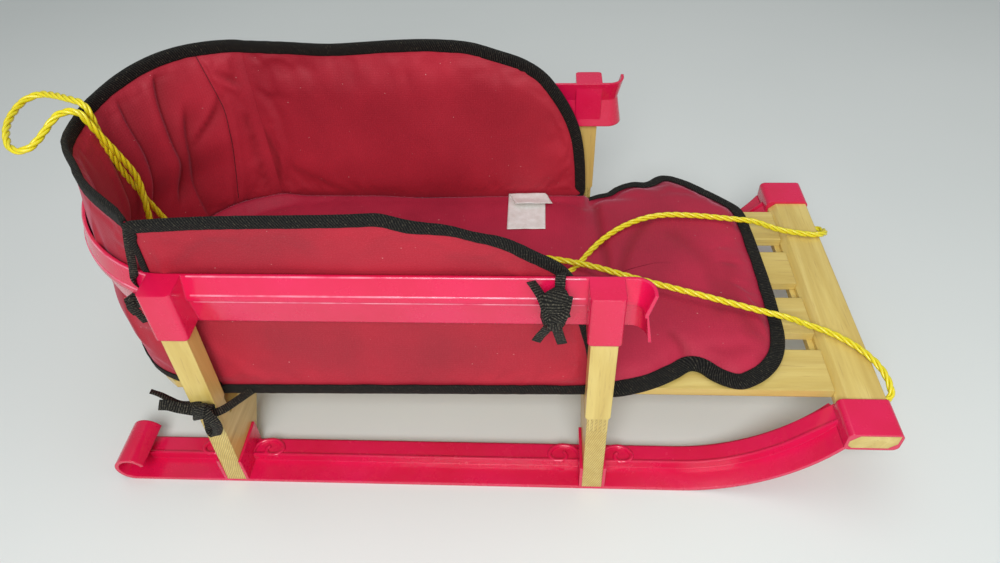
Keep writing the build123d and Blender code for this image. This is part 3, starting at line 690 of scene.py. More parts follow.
def make_beads(material):
    """Rounded beads on the runners: the scrolls beside the feet, and the line along the band's edge."""
    curve, start = [], SCROLL_START
    for middle_u, middle_v, end_u, end_v in SCROLL_ARCS:
        curve += arc_through(start, (middle_u, middle_v), (end_u, end_v), 13)[1 if curve else 0:]
        start = (end_u, end_v)
    for side, word in ((-1, "right"), (1, "left")):
        scrolls = [[(post + way * (POCKET + u), side * (161.5 - v), BAND_TOP + 0.4) for u, v in curve]
                   for post in POSTS for way in (-1, 1)]
        dress(tubes(f"scroll_beads_{word}", scrolls, 2.1), material, "red_plastic")
        edge_y, top = side * 169.5, BAND_TOP + 0.4
        rear, front = POSTS

        def level(start, end, count):
            return np.linspace((start, edge_y, top), (end, edge_y, top), count)

        rise = []
        for a in np.arange(0, BAND_LAST, 3.0):
            reach = BEND[1] - np.interp(a, (BAND_FADE, BAND_LAST), (top, 4.0))
            rise.append((BEND[0] + reach * sin(radians(a)), edge_y, BEND[1] - reach * cos(radians(a))))
        runs = [level(rear - 100, rear - POCKET, 12), level(rear + POCKET, front - POCKET, 24),
                np.concatenate([level(front + POCKET, BEND[0] - 6, 8), rise])]
        dress(tubes(f"edge_beads_{word}", runs, 1.6), material, "red_plastic")


def make_rail_lines(material):
    """Thin raised lines on the rail's outer face, between its sockets: two at the ridge, one at the top."""
    rail = bpy.data.objects[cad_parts["seat_rail"].name]
    inward = rail.matrix_world.inverted()
    turns = np.radians(np.arange(-70, 71, 3.5))
    starts = [((x, -300.0), (0.0, 1.0)) for x in np.arange(392, -13, -6.0)]        # places and ways to look
    starts += [((BACK_CENTRE - 300 * cos(a), 300 * sin(a)), (cos(a), -sin(a))) for a in turns]
    starts += [((x, 300.0), (0.0, -1.0)) for x in np.arange(-12, 393, 6.0)]
    lines = []
    for z, radius in ((249.3, 1.1), (240.9, 1.3), (267.2, 0.9)):
        run = []
        for (x, y), (along_x, along_y) in starts + [((0, 0), (0, 0))]:
            way = inward.to_3x3() @ Vector((along_x, along_y, 0))
            found, place, _, _ = rail.ray_cast(inward @ spot(x, y, z), way)
            place = rail.matrix_world @ place
            if found and abs(place.y) < 168.5 * MM:
                run.append(((place.x - REAR_X) / MM + 0.4 * along_x, place.y / MM + 0.4 * along_y, z))
            elif run:
                lines.append((run, radius))
                run = []
    for count, (run, radius) in enumerate(lines):
        if len(run) > 3:
            dress(tubes(f"rail_line_{count}", [run], radius, 8), material, "red_plastic")


# Top edge of a side panel from its rear corner to its front foot, as (X, Z), on the sled's right
# and left. The right one is pulled up at the front by its tie.
TOP_RIGHT = [(-14, 322), (27, 325.5), (78, 327.6), (128, 328.4), (178, 330), (192, 331), (202, 328),
             (212, 324.4), (226, 322), (250, 318), (265, 312), (284, 308), (299, 301), (312, 291.6), (324, 284),
             (335, 276), (345, 262), (359, 216), (370, 167), (374, 114)]
TOP_LEFT = [(-18, 322), (30, 320), (85, 317), (125, 319), (163, 321), (205, 321), (245, 316.5),
            (269.5, 308.5), (302, 296.7), (324, 281.3), (338, 263), (350, 243), (361.5, 217), (367, 195),
            (371, 164), (374, 114)]
# The round back's angles from the rear in degrees, right to left, and how many; and its top edge, as
# (angle, radius, Z)
BACK_SPAN = (-70.2, 70.2, 150)
TOP_BACK = [(-70.2, 166, 322), (-66, 160, 323), (-58, 156, 325), (-48, 154.5, 325), (-38, 155, 325),
            (-29, 156, 324.5), (-21, 161.5, 324), (-14, 166.5, 323), (0, 168.5, 324), (7, 170.5, 325),
            (14, 171, 326), (28, 170.5, 330), (42, 168.5, 332), (56, 168, 329), (70.2, 168, 323)]
# Half of a folded tape's section, from its free edge to the fold: (share of its depth, share of the
# cloth's half thickness)
FOLD = [(1.0, 1.0), (0.8, 1.06), (0.45, 1.1), (0.18, 1.08), (-0.02, 0.78), (-0.10, 0.3)]
# Folds pressed into the round back's inside, steep on their right and soft on their left: (depth,
# half width) and places (angle, Z) down the fold
BACK_FOLDS = [
    (5.0, 11.0, [(18.8, 312), (17.5, 284), (17.4, 263), (17.6, 240), (14.5, 190), (9, 135)]),
    (6.0, 13.0, [(36.2, 320), (33.6, 297), (31.9, 272), (31.3, 240), (31.6, 214), (26, 160)]),
    (5.0, 9.0, [(41.6, 272), (38.8, 247), (37, 222), (36, 195), (35.1, 169), (36, 120)]),
    (4.5, 10.0, [(55.4, 272), (51.6, 254), (45.7, 240), (39.8, 226)]),
    (3.5, 10.0, [(3, 300), (1, 262), (-1, 215), (-6, 170)]),
    (3.5, 12.0, [(-18, 300), (-22, 255), (-25, 205), (-28, 160)]),
    (3.0, 12.0, [(-44, 290), (-47, 245), (-48, 190), (-50, 140)]),
    (5.0, 12.0, [(57.6, 296), (62, 283), (66, 272), (69, 258), (70, 235)])]
BACK_SEAM = [(53.6, 322), (55.2, 290), (56.5, 262), (56.8, 240), (55.6, 205), (53.8, 170), (50, 125)]


def rear_bow(x, z):
    """X of the right panel with its rear edge bowed back over the rail."""
    return x - 6.0 * np.exp(-((z - 262) / 32) ** 2) * smoothstep((46 - x) / 60)


def wall_lean(z):
    """How far the wall leans out over the rail at a height, and where it meets the floor."""
    return 4.5 * smoothstep((z - 262) / 60) + 1.5 * smoothstep((124 - z) / 16)


def base_height(x):
    """Height of the tub's lower edge along its sides."""
    return WALL_BASE + 7.0 * np.clip((x - SIDE_REAR) / (SIDE_FRONT - SIDE_REAR), 0, 1)


def make_side(side):
    """Padded side of the tub; side is -1 on the sled's right and 1 on its left."""
    word = "right" if side < 0 else "left"
    top = smooth_line(TOP_RIGHT if side < 0 else TOP_LEFT, 5.0)
    base_x = np.linspace(top[0, 0], SIDE_FRONT, len(top))
    base = np.stack([base_x, base_height(base_x)], axis=1)
    rise = rise_rows(44)[..., None]
    flat = base[:, None, :] * (1 - rise) + top[:, None, :] * rise
    x, z = flat[..., 0], flat[..., 1]
    rim = distance_to(np.concatenate([top, base[::-1], top[:1]]), x, z)
    bound = rim if side < 0 else distance_to(np.concatenate([top, base[::-1]]), x, z)
    sag = 1.3 * ripple(x, z, 85, 3.0 + side) * smoothstep((rim - 9) / 20)
    shade = np.zeros_like(x)
    if side > 0:
        # Painted shade on the left panel beside its deep fold, on the fold's rear side, fading above and below
        ahead = np.interp(z, (138, 175, 209, 237), (-10, -3, -10.5, -22)) - x
        shade = smoothstep(ahead / 6 + 0.5) * np.exp(-np.maximum(ahead, 0) / 12)
        shade *= smoothstep((z - 125) / 25) * smoothstep((262 - z) / 25)
        past = x - np.interp(z, (140, 151, 187, 229, 243, 257, 268), (-2, 0, 6, 5, 3, -2, -12))
        fold = smoothstep(past / 8 + 0.5) * np.exp(-np.maximum(past, 0) / 20)
        sag += 5.0 * fold * smoothstep((275 - z) / 20) * smoothstep((z - 118) / 40)
    shown_x = rear_bow(x, z) if side < 0 else x
    middle = np.stack([shown_x, side * (RAIL_HALF - WALL_INSET + wall_lean(z) + sag), z], axis=-1)
    normal = np.zeros_like(middle)
    normal[..., 1] = side
    piece = padded_shell(f"seat_side_{word}", middle, normal, swell(bound, WALL_T), np.stack([x, z], -1), shade)
    simulate(piece, seam_hold(rim), 1.6, 0.02, 3.0)
    finish_pad(piece, CLOTH, 0.35, f"side_panel_{word}")


def side_edge(flat, side):
    """Places along a side panel's edge, and the wall's outward directions there."""
    places = np.stack([flat[:, 0], side * (RAIL_HALF - WALL_INSET + wall_lean(flat[:, 1])), flat[:, 1]], axis=1)
    return places, np.tile((0.0, float(side), 0.0), (len(flat), 1))


def binding_depths(edge):
    """Depth of a tub binding inside and outside: wider below, narrow on the swept edge and the rear one."""
    x, z = edge[:, 0], edge[:, 2]
    low = smoothstep((WALL_BASE + 26 - z) / 12)
    swept = np.exp(-((x - 262) / 30) ** 2) * smoothstep((z - 262) / 10)
    rear = smoothstep(-x / 10) * smoothstep((x + 20) / 4) * smoothstep((312 - z) / 8)
    round_back = smoothstep((-16 - x) / 10)
    outside = OUTER_DEPTH + 4.5 * low - 3.2 * swept - 3.0 * rear * (1 - low) + 4.0 * round_back
    return BINDING_DEPTH - 7.0 * low, outside


def rounded(ring, times, closed):
    """A line with its corners eased."""
    for _ in range(times):
        eased = (np.roll(ring, 1, axis=0) + 2 * ring + np.roll(ring, -1, axis=0)) / 4
        ring = eased if closed else np.concatenate([ring[:1], eased[1:-1], ring[-1:]])
    return ring


def bind_tub():
    """Bindings of the tub: round the right side, then along the back and the left side in one run."""
    low_x = np.linspace(SIDE_REAR, SIDE_FRONT, 60)
    low = np.stack([low_x, base_height(low_x)], axis=1)
    ring = np.concatenate([smooth_line(TOP_RIGHT, 3.0)[::-1], low[1:-1]])
    ring = evenly(np.concatenate([ring, ring[:1]]), 3.0)[0][:-1]
    edge, normal = side_edge(rounded(ring, 5, True), -1)
    depths = binding_depths(edge)
    edge[:, 0] = rear_bow(edge[:, 0], edge[:, 2])
    tape("seat_binding_right", edge, normal, *depths, 3.0, around=True)
    angles = np.linspace(*BACK_SPAN)
    top = smooth_through(TOP_BACK, angles)
    left = rounded(evenly(np.concatenate([smooth_line(TOP_LEFT, 3.0), low[:-1][::-1]]), 3.0)[0], 5, False)
    left_edge, left_normal = side_edge(left, 1)
    edge = np.concatenate([np.stack([*back_frame(angles, top[:, 0]), top[:, 1]], axis=1), left_edge[1:]])
    normal = np.concatenate([back_out(angles), left_normal[1:]])
    edge, normal = rounded(edge, 3, False), rounded(normal, 6, False)
    tape("seat_binding_back_left", edge, normal, *binding_depths(edge), 9.0)
    angles = np.linspace(69.5, -69.5, 120)
    base = back_base(angles)
    edge = np.stack([*back_frame(angles, back_plan(angles) + back_swing(angles, base)), base], axis=1)
    tape("seat_binding_back_low", edge, back_out(angles), 4.0, BINDING_DEPTH - 2.0, 12.0)


def back_frame(angle, radius):
    """Places on the round back: X and Y at an angle from the rear and a radius."""
    turn = np.radians(angle)
    return BACK_CENTRE - radius * np.cos(turn), radius * np.sin(turn)


def back_out(angle):
    """Outward directions of the round back."""
    turn = np.radians(angle)
    return np.stack([-np.cos(turn), np.sin(turn), 0 * turn], axis=-1)


def back_plan(angle):
    """Radius about the back's centre of the wall's middle, with the straight sides beyond the round."""
    turn = np.radians(np.abs(angle))
    straight = (RAIL_HALF - WALL_INSET) / np.maximum(np.sin(turn), 0.2)
    return np.minimum(BACK_R - WALL_INSET, straight)


def back_base(angle):
    """Height of the back's lower edge."""
    return WALL_BASE - 2.5 * np.cos(np.radians(angle)) ** 2


def back_swing(angle, z):
    """How far the back swings out below the rail, over the slats' ends."""
    round_part = smoothstep((68 - np.abs(angle)) / 22)
    return 9.5 * smoothstep((222 - z) / 45) * round_part * (0.85 + 0.15 * np.cos(np.radians(angle)))


def on_back(places):
    """Places (angle, Z) on the unrolled back, as lengths along its round and up."""
    return [(radians(angle) * BACK_R, z) for angle, z in places]


def make_back():
    """Round padded back with its folds, and the seam that joins it to the left side."""
    angles = np.linspace(*BACK_SPAN)
    rise = rise_rows(56)
    top = smooth_through(TOP_BACK, angles)
    z = back_base(angles)[:, None] * (1 - rise) + top[:, 1][:, None] * rise
    angle = np.repeat(angles[:, None], z.shape[1], axis=1)
    plan = back_plan(angle)
    flare = smoothstep((z - 255) / 65) * (top[:, 0][:, None] - plan)
    arc = np.radians(angle) * BACK_R
    upper = np.stack([arc[:, 0], top[:, 1]], axis=1)
    lower = [(arc[-1, 0], z[-1, 0]), (arc[0, 0], z[0, 0]), (arc[0, 0], top[0, 1])]
    rim = distance_to(np.concatenate([upper, lower]), arc, z)
    bound = np.minimum(distance_to(upper, arc, z), distance_to(lower, arc, z))
    press = np.zeros_like(z)
    # Painted shade: a broad band near the back's join with the left side
    shade = 0.8 * smoothstep((angle - 60) / 8) * smoothstep((z - 125) / 25) * smoothstep((255 - z) / 25)
    for depth, width, places in BACK_FOLDS:
        line = smooth_line(on_back(places), 6.0)
        past = arc - np.interp(z, line[::-1, 1], line[::-1, 0])
        ends = smoothstep((np.minimum(z - line[-1, 1], line[0, 1] - z) + 8) / 26)
        press += depth * ends * smoothstep(past / 6 + 0.5) * np.exp(-np.maximum(past, 0) / width)
        press -= 0.35 * depth * ends * np.exp(-((past + 7) / 6) ** 2)
        # Painted shade along each fold, beside its steep side
        shade += depth / 6 * ends * smoothstep(past / 4 + 0.5) * np.exp(-np.maximum(past, 0) / (1.1 * width))
    seam = distance_to(smooth_line(on_back(BACK_SEAM), 5.0), arc, z)
    press += 2.2 * np.exp(-(seam / 2.0) ** 2) - 1.6 * np.exp(-((seam - 6) / 5) ** 2)
    press += 1.4 * ripple(arc, z * 0.6, 42, 11.0)
    inner = smoothstep((rim - 8) / 14)
    press *= inner
    middle = np.stack([*back_frame(angle, plan + flare + back_swing(angle, z)), z], axis=-1)
    inside = middle + back_out(angle) * ((np.maximum(press, -2.5) * 0.95 - 2.4) * inner)[..., None]
    cloth = np.stack([arc, z], axis=-1)
    piece = padded_shell("seat_back", inside, back_out(angle), swell(bound, WALL_T), cloth, shade * inner)
    simulate(piece, seam_hold(rim), 1.2, 0.02, 2.5)
    finish_pad(piece, CLOTH, 0.35, "back_panel")


# Outline of the seat's floor and foot pad at the binding's outer edge, as (X, Y). The pad lies
# shifted to the sled's left, bunched at its right waist.
FLOOR_RIGHT = [(374, -151), (393, -152), (418, -146), (438, -138), (459, -126), (472, -117.5), (479, -119),
               (490, -129), (503, -137), (518, -140.5), (533, -134.5), (546.5, -125), (558, -112), (566.5, -96),
               (572, -76), (574.5, -40)]
FLOOR_LEFT = [(575.2, 10), (574, 60), (572.5, 100), (567, 141), (549, 161.5), (530, 179.5), (511, 196),
              (492, 207), (481, 209.5), (471, 205), (462.5, 197), (456, 193.5), (444, 195), (424, 187.5),
              (414, 180), (406, 171), (393, 167.5), (385, 162.5), (379, 160), (374, 153)]


def floor_outline(step=5.2):
    """Outline of the padded floor, from its right side's front foot round the pad and the tub."""
    pad = smooth_line(FLOOR_RIGHT + FLOOR_LEFT, step)
    inset = 7.0
    angles = np.linspace(68.3, -68.3, 70)
    x, y = back_frame(angles, BACK_R - inset + back_swing(angles, 105) * 0.7)
    corner = RAIL_HALF - inset
    tub = [(374, corner), (-5, corner)] + list(zip(x, y)) + [(-5, -corner), (374, -corner)]
    return evenly(np.concatenate([pad, tub, pad[:1]]), step)[0][:-1]


def make_floor():
    """Seat floor and foot pad in one, swelling inside the pad's binding, creased at its neck."""
    ring = floor_outline()
    count = len(ring)
    shares = np.linspace(0, 1, 27) ** 0.85
    spine_x = np.clip(ring[:, 0], -10, 480)
    spine_y = np.interp(spine_x, (374, 450), (0, 26))
    spine = np.stack([spine_x, spine_y], axis=1)
    flat = spine[:, None, :] * (1 - shares[None, :, None]) + ring[:, None, :] * shares[None, :, None]
    x, y = flat[..., 0], flat[..., 1]
    closed = np.concatenate([ring, ring[:1]])
    rim = distance_to(closed, x, y)
    front = smoothstep((x - 372) / 12)
    bound = RIM_T + (FLOOR_T + 1.5 - RIM_T) * (1 - np.exp(-(np.maximum(rim - 10.5, 0) / 9.0) ** 1.5))
    back_lift = 9.0 * np.exp(-((np.hypot(x - BACK_CENTRE, y) - 162) / 16) ** 2) * smoothstep((30 - x) / 40)
    sewn = 13.0 + 3.5 * np.exp(-(rim / 12) ** 2) + back_lift * smoothstep((y + 40) / 60)
    sewn += 4.0 * smoothstep((x - 120) / 240)
    sewn += 3.6 * np.exp(-(rim / 25) ** 2) * smoothstep((x + 10) / 40) * smoothstep((170 - x) / 60)
    sewn -= 2.5 * np.exp(-(rim / 2.5) ** 2)
    tops = sewn * (1 - front) + bound * front
    dents, shade = np.zeros_like(x), np.zeros_like(x)
    for depth, width, places in FLOOR_FOLDS:
        gap = distance_to(smooth_line(places, 5.0), x, y)
        dents += depth * np.exp(-(gap / width) ** 2)
        # Painted shade along each floor fold
        shade += depth / 6 * np.exp(-(gap / width) ** 2)
    dents += 0.9 * ripple(x, y, 60, 21.0) * smoothstep(rim / 20)
    low_z = FLOOR_BASE + 0.0 * x
    high_z = low_z + tops - dents * smoothstep((rim - 2) / 12)
    points = np.concatenate([np.stack([x, y, height], -1).reshape(-1, 3) for height in (high_z, low_z)])
    size = x.size
    columns = len(shares)
    faces = grid_faces(count, columns, closed=True) + grid_faces(count, columns, size, flip=True, closed=True)
    outer = range(columns - 1, size, columns)
    faces += [(a, b, b + size, a + size) for a, b in zip(outer, [*outer[1:], outer[0]])]
    cloth = np.concatenate([np.stack([x, y], -1).reshape(-1, 2)] * 2)
    piece = new_mesh("seat_floor", points, faces, cloth)
    shade_points(piece, np.concatenate([shade.ravel()] * 2))
    merge(piece)
    held = 1.0 * np.array([v.co.z * 1000 < FLOOR_BASE + 1.0 for v in piece.data.vertices])
    where = np.array([((v.co.x - REAR_X) / MM, v.co.y / MM) for v in piece.data.vertices])
    held = np.maximum(held, smoothstep((18 - distance_to(closed, where[:, 0], where[:, 1])) / 9))
    simulate(piece, held, 2.0, 0.02, 2.5)
    finish_pad(piece, CLOTH_PAD, 0.4, "seat_pad", "foot_pad")


# Seams that show as thin lines: the dark one down the round back as (angle, Z), and the tan thread
# where floor and wall meet at the rear left, as (angle, Z)
WALL_SEAM = [(53.2, 318), (54.3, 296), (55.6, 274), (56.5, 257), (55.7, 226), (54.8, 198), (53.4, 169),
             (51, 130)]
FLOOR_SEAM = [(38.5, 116.5), (45, 117.5), (51, 118), (57, 118.5), (63, 119), (68, 119)]


def make_seams():
    """Thin lines laid on the inside of the round back, along two of its seams."""
    back = bpy.data.objects["seat_back"].evaluated_get(bpy.context.evaluated_depsgraph_get())
    for name, table, radius, colour, sunk in (("seam_wall", WALL_SEAM, 0.45, (0.05, 0.004, 0.008), 0.15),
                                              ("seam_floor", FLOOR_SEAM, 0.4, (0.30, 0.16, 0.07), 0.0)):
        line = []
        for angle, z in smooth_line(table, 0.8):
            start = spot(BACK_CENTRE, 0, z)
            way = spot(*back_frame(angle, 1.0), z) - start
            found, place, _, _ = back.ray_cast(start, way.normalized())
            if found:
                reach = (place - start).length / MM + sunk * radius
                line.append((*back_frame(angle, reach), z))
        seam = tubes(name, [rounded(np.array(line), 2, False)], radius, 6)
        dress(seam, Finish(name, colour, 0.8).material, "red_fabric")


def merge(piece):
    """Joins the points that lie on each other."""
    shape = bmesh.new()
    shape.from_mesh(piece.data)
    bmesh.ops.remove_doubles(shape, verts=shape.verts, dist=0.02 * MM)
    shape.to_mesh(piece.data)
    shape.free()
    piece.data.shade_smooth()


def bind_pad():
    """Binding round the foot pad, from the right side's foot to the left's."""
    line = rounded(smooth_line([(368, -151)] + FLOOR_RIGHT + FLOOR_LEFT + [(368, 151)], 3.0), 2, False)
    x, y = line.T
    along_x, along_y = unit(np.gradient(line, axis=0)).T
    edge = np.stack([x, y, np.full(len(x), FLOOR_BASE + RIM_T / 2 + 1.2)], axis=1)
    normal = unit(np.stack([0.16 * along_y, -0.16 * along_x, np.ones(len(x))], axis=1))
    narrower = smoothstep(y / 60) * (4.5 * smoothstep((455 - x) / 50) + 2.5 * smoothstep((400 - x) / 20))
    tape("foot_pad_binding", edge, normal, BINDING_DEPTH, PAD_BINDING - narrower, 14.0)


def strap(width, across, places, thick=WEBBING_T):
    """Points, faces and cloth places of a flat strap through places (X, Y, Z). across is the direction that
    its width takes; a place may add its own, or a share of the width."""
    line = np.array([(x, y, z, *(more if len(more) == 3 else across), more[0] if len(more) == 1 else 1.0)
                     for x, y, z, *more in places])
    lengths = lengths_along(line[:, :3])
    run = np.linspace(0, lengths[-1], int(lengths[-1] / 1.2) + 2)
    found = smooth_through(np.column_stack([lengths, line]), run)
    middle, share = found[:, :3], found[:, 6]
    ahead = unit(np.gradient(middle, axis=0))
    level = unit(found[:, 3:6] - ahead * np.sum(found[:, 3:6] * ahead, axis=1)[:, None])
    over = np.cross(ahead, level)
    section = [(-1, 0), (-0.93, 0.9), (0, 1.1), (0.93, 0.9), (1, 0), (0.93, -0.9), (0, -1.1), (-0.93, -0.9)]
    points = [middle[i] + level[i] * a * share[i] * width / 2 + over[i] * b * thick / 2
              for i in range(len(run)) for a, b in section]
    cloth = [(length, a * width / 2) for length in run for a, b in section]
    return points, tube_faces(len(run), len(section)), cloth


def coil(at, axis, radii, width, turns, start=0.0):
    """Places of a strap wound round an axis; radii are across the axis, level and upright."""
    axis = np.array(axis, float) / np.linalg.norm(axis)
    level = np.cross(axis, (0, 0, 1.0))
    level /= np.linalg.norm(level)
    rise = np.cross(level, axis)
    places = []
    for t in np.linspace(0, 1, int(16 * turns)):
        angle = start + 2 * pi * turns * t
        place = np.array(at) + axis * width * turns * (t - 0.5) * 0.8
        place += level * radii[0] * cos(angle) + rise * radii[1] * sin(angle)
        places.append((*place, *(axis + 0.25 * level * cos(angle))))
    return places


# Straps of the webbing ties on the sled's right, as strap() takes them. In each: the loop or band round
# what it ties, the knot's coil and layers, then the tails
LEFT_SHIFT = {"rail": -24.0}  # on the sled's left, so that the higher panel hides it
TIES = {
    "rail": [
        (8.6, (1, 0, 0), [
            (336, -153, 262), (336, -155, 269), (335.5, -160, 271.5), (335, -165, 271),
            (334.5, -172, 268, 1, 0, 0.1), (333, -182, 261, 1, 0.1, 0.2), (331, -186, 250, 1, 0, 0.2)]),
        (10, None, coil((331, -180.5, 253), (1, 0, 0.35), (6.0, 11.0), 10, 1.8, 2.1)),
        (23.5, (1, 0, 0), [
            (334.5, -175, 269, 0.45), (332.5, -182, 269, 0.86), (331, -186.5, 265.5), (331, -189.5, 259, 0.96),
            (330, -190, 251, 0.84), (329.5, -188.5, 243, 0.6)], 3.2),
        (13, (0.8, 0, 0.6), [
            (339.5, -181, 268), (337.5, -188.5, 262), (333.5, -192.5, 254), (329.5, -192, 247),
            (327, -188, 243)], 1.8),
        (11, (0.8, 0.3, -0.5), [
            (311, -171, 274), (315.5, -177, 271.5), (321, -184.5, 266.5), (325, -190.5, 258, 0.8, 0.2, -0.4),
            (329, -192.8, 248, 0.9, 0.1, -0.3), (331, -190, 241, 1, 0, -0.2)]),
        (9.5, (0, 0, 1), [
            (319.5, -181, 247), (322.5, -189, 245.5), (330, -193.5, 244), (337.5, -189.5, 246),
            (340.5, -181, 248)]),
        (8.4, (1, 0, -0.5), [
            (328, -187, 243), (323, -187, 233), (319, -185.5, 225, 1, 0, -0.3), (315.5, -185, 217.5, 1, 0, 0)]),
        (8.8, (1, 0, 0.2), [(331.5, -188, 243), (334, -187, 230), (337.5, -185.5, 215.5, 1, 0, 0.25)])],
    "post": [
        (7.8, (-0.58, 0.49, 0.66), [
            (41, -148, 106), (34, -158, 109), (25, -174, 113.5), (15, -191, 119),
            (7, -199, 123, -0.5, 0.3, 0.7)]),
        (9, None, coil((4, -196.5, 125), (1, 0.1, -0.35), (5.5, 8.5), 9, 2.1)),
        (9.5, (1, 0.2, 0.1), [
            (5.5, -196, 136.5), (4.5, -201, 137.5), (2, -204.5, 131, 1, 0.1, 0.1),
            (-1, -203.5, 122.5, 1, 0.1, 0.2), (-2, -198, 117.5, 1, 0, 0.2)]),
        (9.5, (1, 0.6, 0), [
            (6, -200, 134, 1, 0.5, 0.2), (11, -204, 128, 1, 0.6, 0.2), (14.5, -205, 117, 1, 0.6, 0.1),
            (12.5, -204.5, 105, 1, 0.6, -0.1), (7, -204, 97.5, 0.7, 0.6, -0.6), (4, -202, 101, 0.6, 0.7, -0.4),
            (4.5, -200, 110), (5, -198, 120, 1, 0.4, 0)]),
        (10, (0.08, 0.79, 0.53), [
            (2, -198, 127), (-9, -197, 128), (-20, -197, 131), (-29, -196.5, 134), (-38, -196, 133.5)]),
        (8.5, (0.15, 0.75, -0.6), [
            (0, -194, 130, 0.1, 0.7, 0.5), (-12, -192, 129, 0.1, 0.8, 0), (-24, -190, 130, 0.15, 0.75, -0.5),
            (-31, -190, 136, 0.15, 0.75, -0.55), (-37, -190, 142), (-44, -190, 146.5)]),
        (9, (0, 0, 1), [
            (-12, -190, 122), (-13.5, -176, 116), (-13, -160, 110, 0, 0.2, 1), (-11, -151, 106, 0, 0.3, 1)])],
    "corner": [
        (6.8, (-0.49, 0.63, -0.60), [
            (-12, -157, 322, 1, 0.4, 0), (-15.5, -159, 308, 1, 0.4, 0), (-20, -159.5, 290, 1, 0.45, 0),
            (-23, -159.5, 277, 1, 0.5, 0), (-25, -159.5, 270, 1, 0.3, -0.2),
            (-27.5, -160, 260, -0.3, 0.7, -0.6), (-29, -157, 251), (-31, -152, 240),
            (-36, -152, 230, 0.5, 0.6, -0.5)]),
        (8, None, coil((-39.5, -154, 231), (1, 0.6, 0.4), (5.0, 7.0), 8, 1.5)),
        (9, (0.7, 0.3, 0.6), [
            (-37, -157, 239), (-42, -158, 232), (-44, -158, 225, 1, 0.3, 0.3),
            (-42.5, -157, 217, 1, 0.4, 0.1)]),
        (6.5, (1, 0.4, 0), [
            (-45, -156, 229), (-43.5, -156.5, 221, 1, 0.4, 0.1), (-42, -156, 212, 0.8, 0.3, 0.3),
            (-40.5, -155, 204, 0.8, 0.2, 0.4)])]}


def make_ties():
    """The webbing ties on both sides, the left ones mirrored."""
    for side, end in ((-1, "right"), (1, "left")):
        for word, straps in TIES.items():
            points, faces, cloth = [], [], []
            for parts in straps:
                new_points, new_faces, new_cloth = strap(*parts)
                faces += [tuple(len(points) + i for i in face) for face in new_faces]
                points += new_points
                cloth += new_cloth
            shift = LEFT_SHIFT.get(word, 0.0) if side > 0 else 0.0
            points = np.array(points) * (1, -side, 1) + (shift, 0, 0)
            piece = outward(new_mesh(f"webbing_{word}_{end}", points, faces, cloth))
            dress(piece, WEBBING, "black_webbing", f"tie_{word}_{end}")


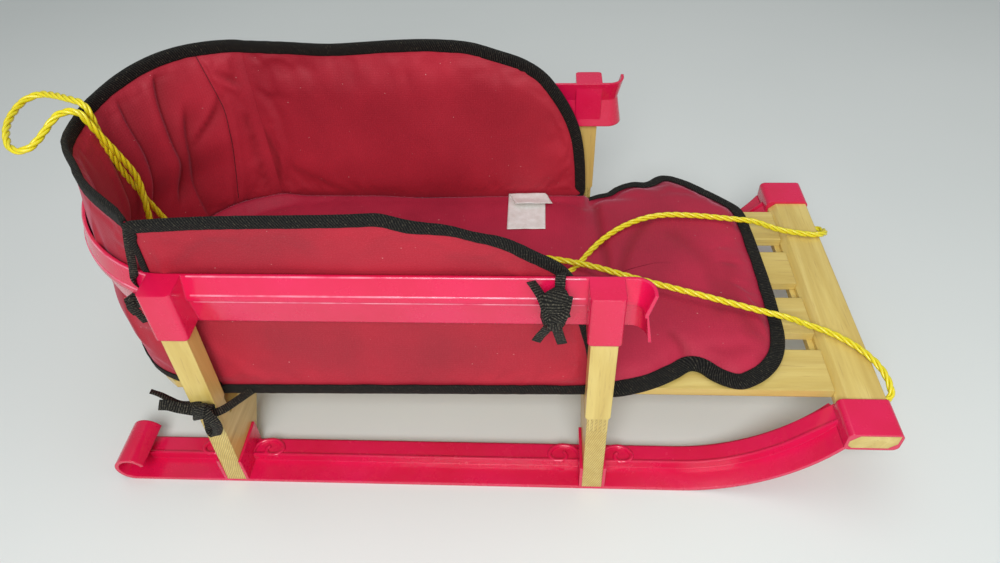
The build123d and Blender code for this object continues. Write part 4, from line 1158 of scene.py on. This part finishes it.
def make_tag():
    """Blank label folded at the seat's left seam: its lower leaf lies on the floor, the upper one is skewed."""
    floor = bpy.data.objects["seat_floor"].evaluated_get(bpy.context.evaluated_depsgraph_get())

    def floor_height(x, y):
        found, place, _, _ = floor.ray_cast(spot(x, y, 300), Vector((0, 0, -1)))
        return place.z / MM if found else FLOOR_BASE + FLOOR_T

    # Each leaf as (share of its length, Y, height over the floor)
    lower = [(0.0, 80, 0.9), (0.25, 98, 0.5), (0.55, 119, 0.7), (0.85, 141, 0.9), (1.0, 148.0, 1.6)]
    upper = [(0.0, 148.4, 3.0), (0.4, 142, 2.6), (0.75, 132, 3.2), (1.0, 124, 4.6)]
    rows = [(t, 0, *smooth_through(lower, t)) for t in np.linspace(0, 1, 30)]
    rows += [(t, 1, *smooth_through(upper, t)) for t in np.linspace(0, 1, 16)]
    points, cloth = [], []
    columns = 22
    for t, skewed, y, z in rows:
        for u in np.linspace(0, 1, columns):
            x = 279 + 46 * u + 9.0 * t * skewed
            buckle = 0.5 + 0.7 * noise.noise(Vector((x / 14, y / 11, 5.0 + skewed)))
            buckle += 0.8 * skewed * t * sin(pi * u)
            points.append((x, y + 1.5 * skewed * t * u, floor_height(x, min(y, 145)) + z + buckle))
            cloth.append((x, 300 - y if skewed else y))
    piece = new_mesh("care_tag_cloth", points, grid_faces(len(rows), columns), cloth)
    dress(piece, label_finish(), "white_cloth", "care_tag")
    thicken = piece.modifiers.new("cloth", "SOLIDIFY")
    thicken.thickness = 0.35 * MM


# Folds pressed into the floor: (depth, half width) and places (X, Y) along each
FLOOR_FOLDS = [
    (4.0, 4.5, [(388, -128), (389, -90), (393, -40), (396, 20), (392, 75), (388, 132)]),
    (3.0, 6.0, [(404, -20), (412, 25), (428, 70), (448, 105)]),
    (2.2, 12.0, [(480, 80), (505, 40), (515, 0), (512, -40)]),
    (2.0, 9.0, [(540, -70), (530, -25), (536, 30)]),
    (3.0, 4.5, [(472, -112), (466, -96), (455, -80)])]


def finish_model():
    """Finishes of the pieces that come from the model as they are."""
    finishes = [
        (("runner", "seat_rail"), plastic_finish()),
        (("slat",), wood_finish("wood_slats", (0, 0, 0))),
        (("crossbeam", "front_"), wood_finish("wood_across", (0, 0, radians(-90)), tint=1.04)),
        (("upright",), wood_finish("wood_posts", (0, radians(90), 0), tint=1.05)),
        (("foot_rear", "foot_front"),
         wood_finish("wood_feet", (0, radians(62), radians(-90)), 9.0, 120.0, 0.98, True))]
    for name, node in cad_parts.items():
        for words, material in finishes:
            if name.startswith(words):
                node.data.materials.clear()
                node.data.materials.append(material)


CLOTH = fabric_finish()
CLOTH_PAD = fabric_finish("red_fabric_pad", 0.5)
BINDING = tape_finish("black_binding", 0.75, 0.4, 0.2, 35, (150, 2.6, 2.5), (300, 0.4), (520, 0.55, 0.68),
                      (0.45, (0.020, 0.019, 0.016)), (0.13, 0.115, 0.075), (0.0005, 0.8))
WEBBING = tape_finish("black_webbing", 0.68, 0.35, 0.25, 0, (140, 1.6, 3.0), (420, 0.25), (600, 0.48, 0.66),
                      (0.50, (0.022, 0.021, 0.018)), (0.20, 0.18, 0.125), (0.0007, 0.9))

studio()
camera()
finish_model()
make_rope(rope_finish())
make_beads(plastic_finish("red_plastic_beads", 0.0))
# The rail lines' paler pink colour is a painted highlight
make_rail_lines(rail_highlight_finish())
make_side(-1)
make_side(1)
make_back()
make_floor()
bind_pad()
make_seams()
bind_tub()
make_ties()
make_tag()
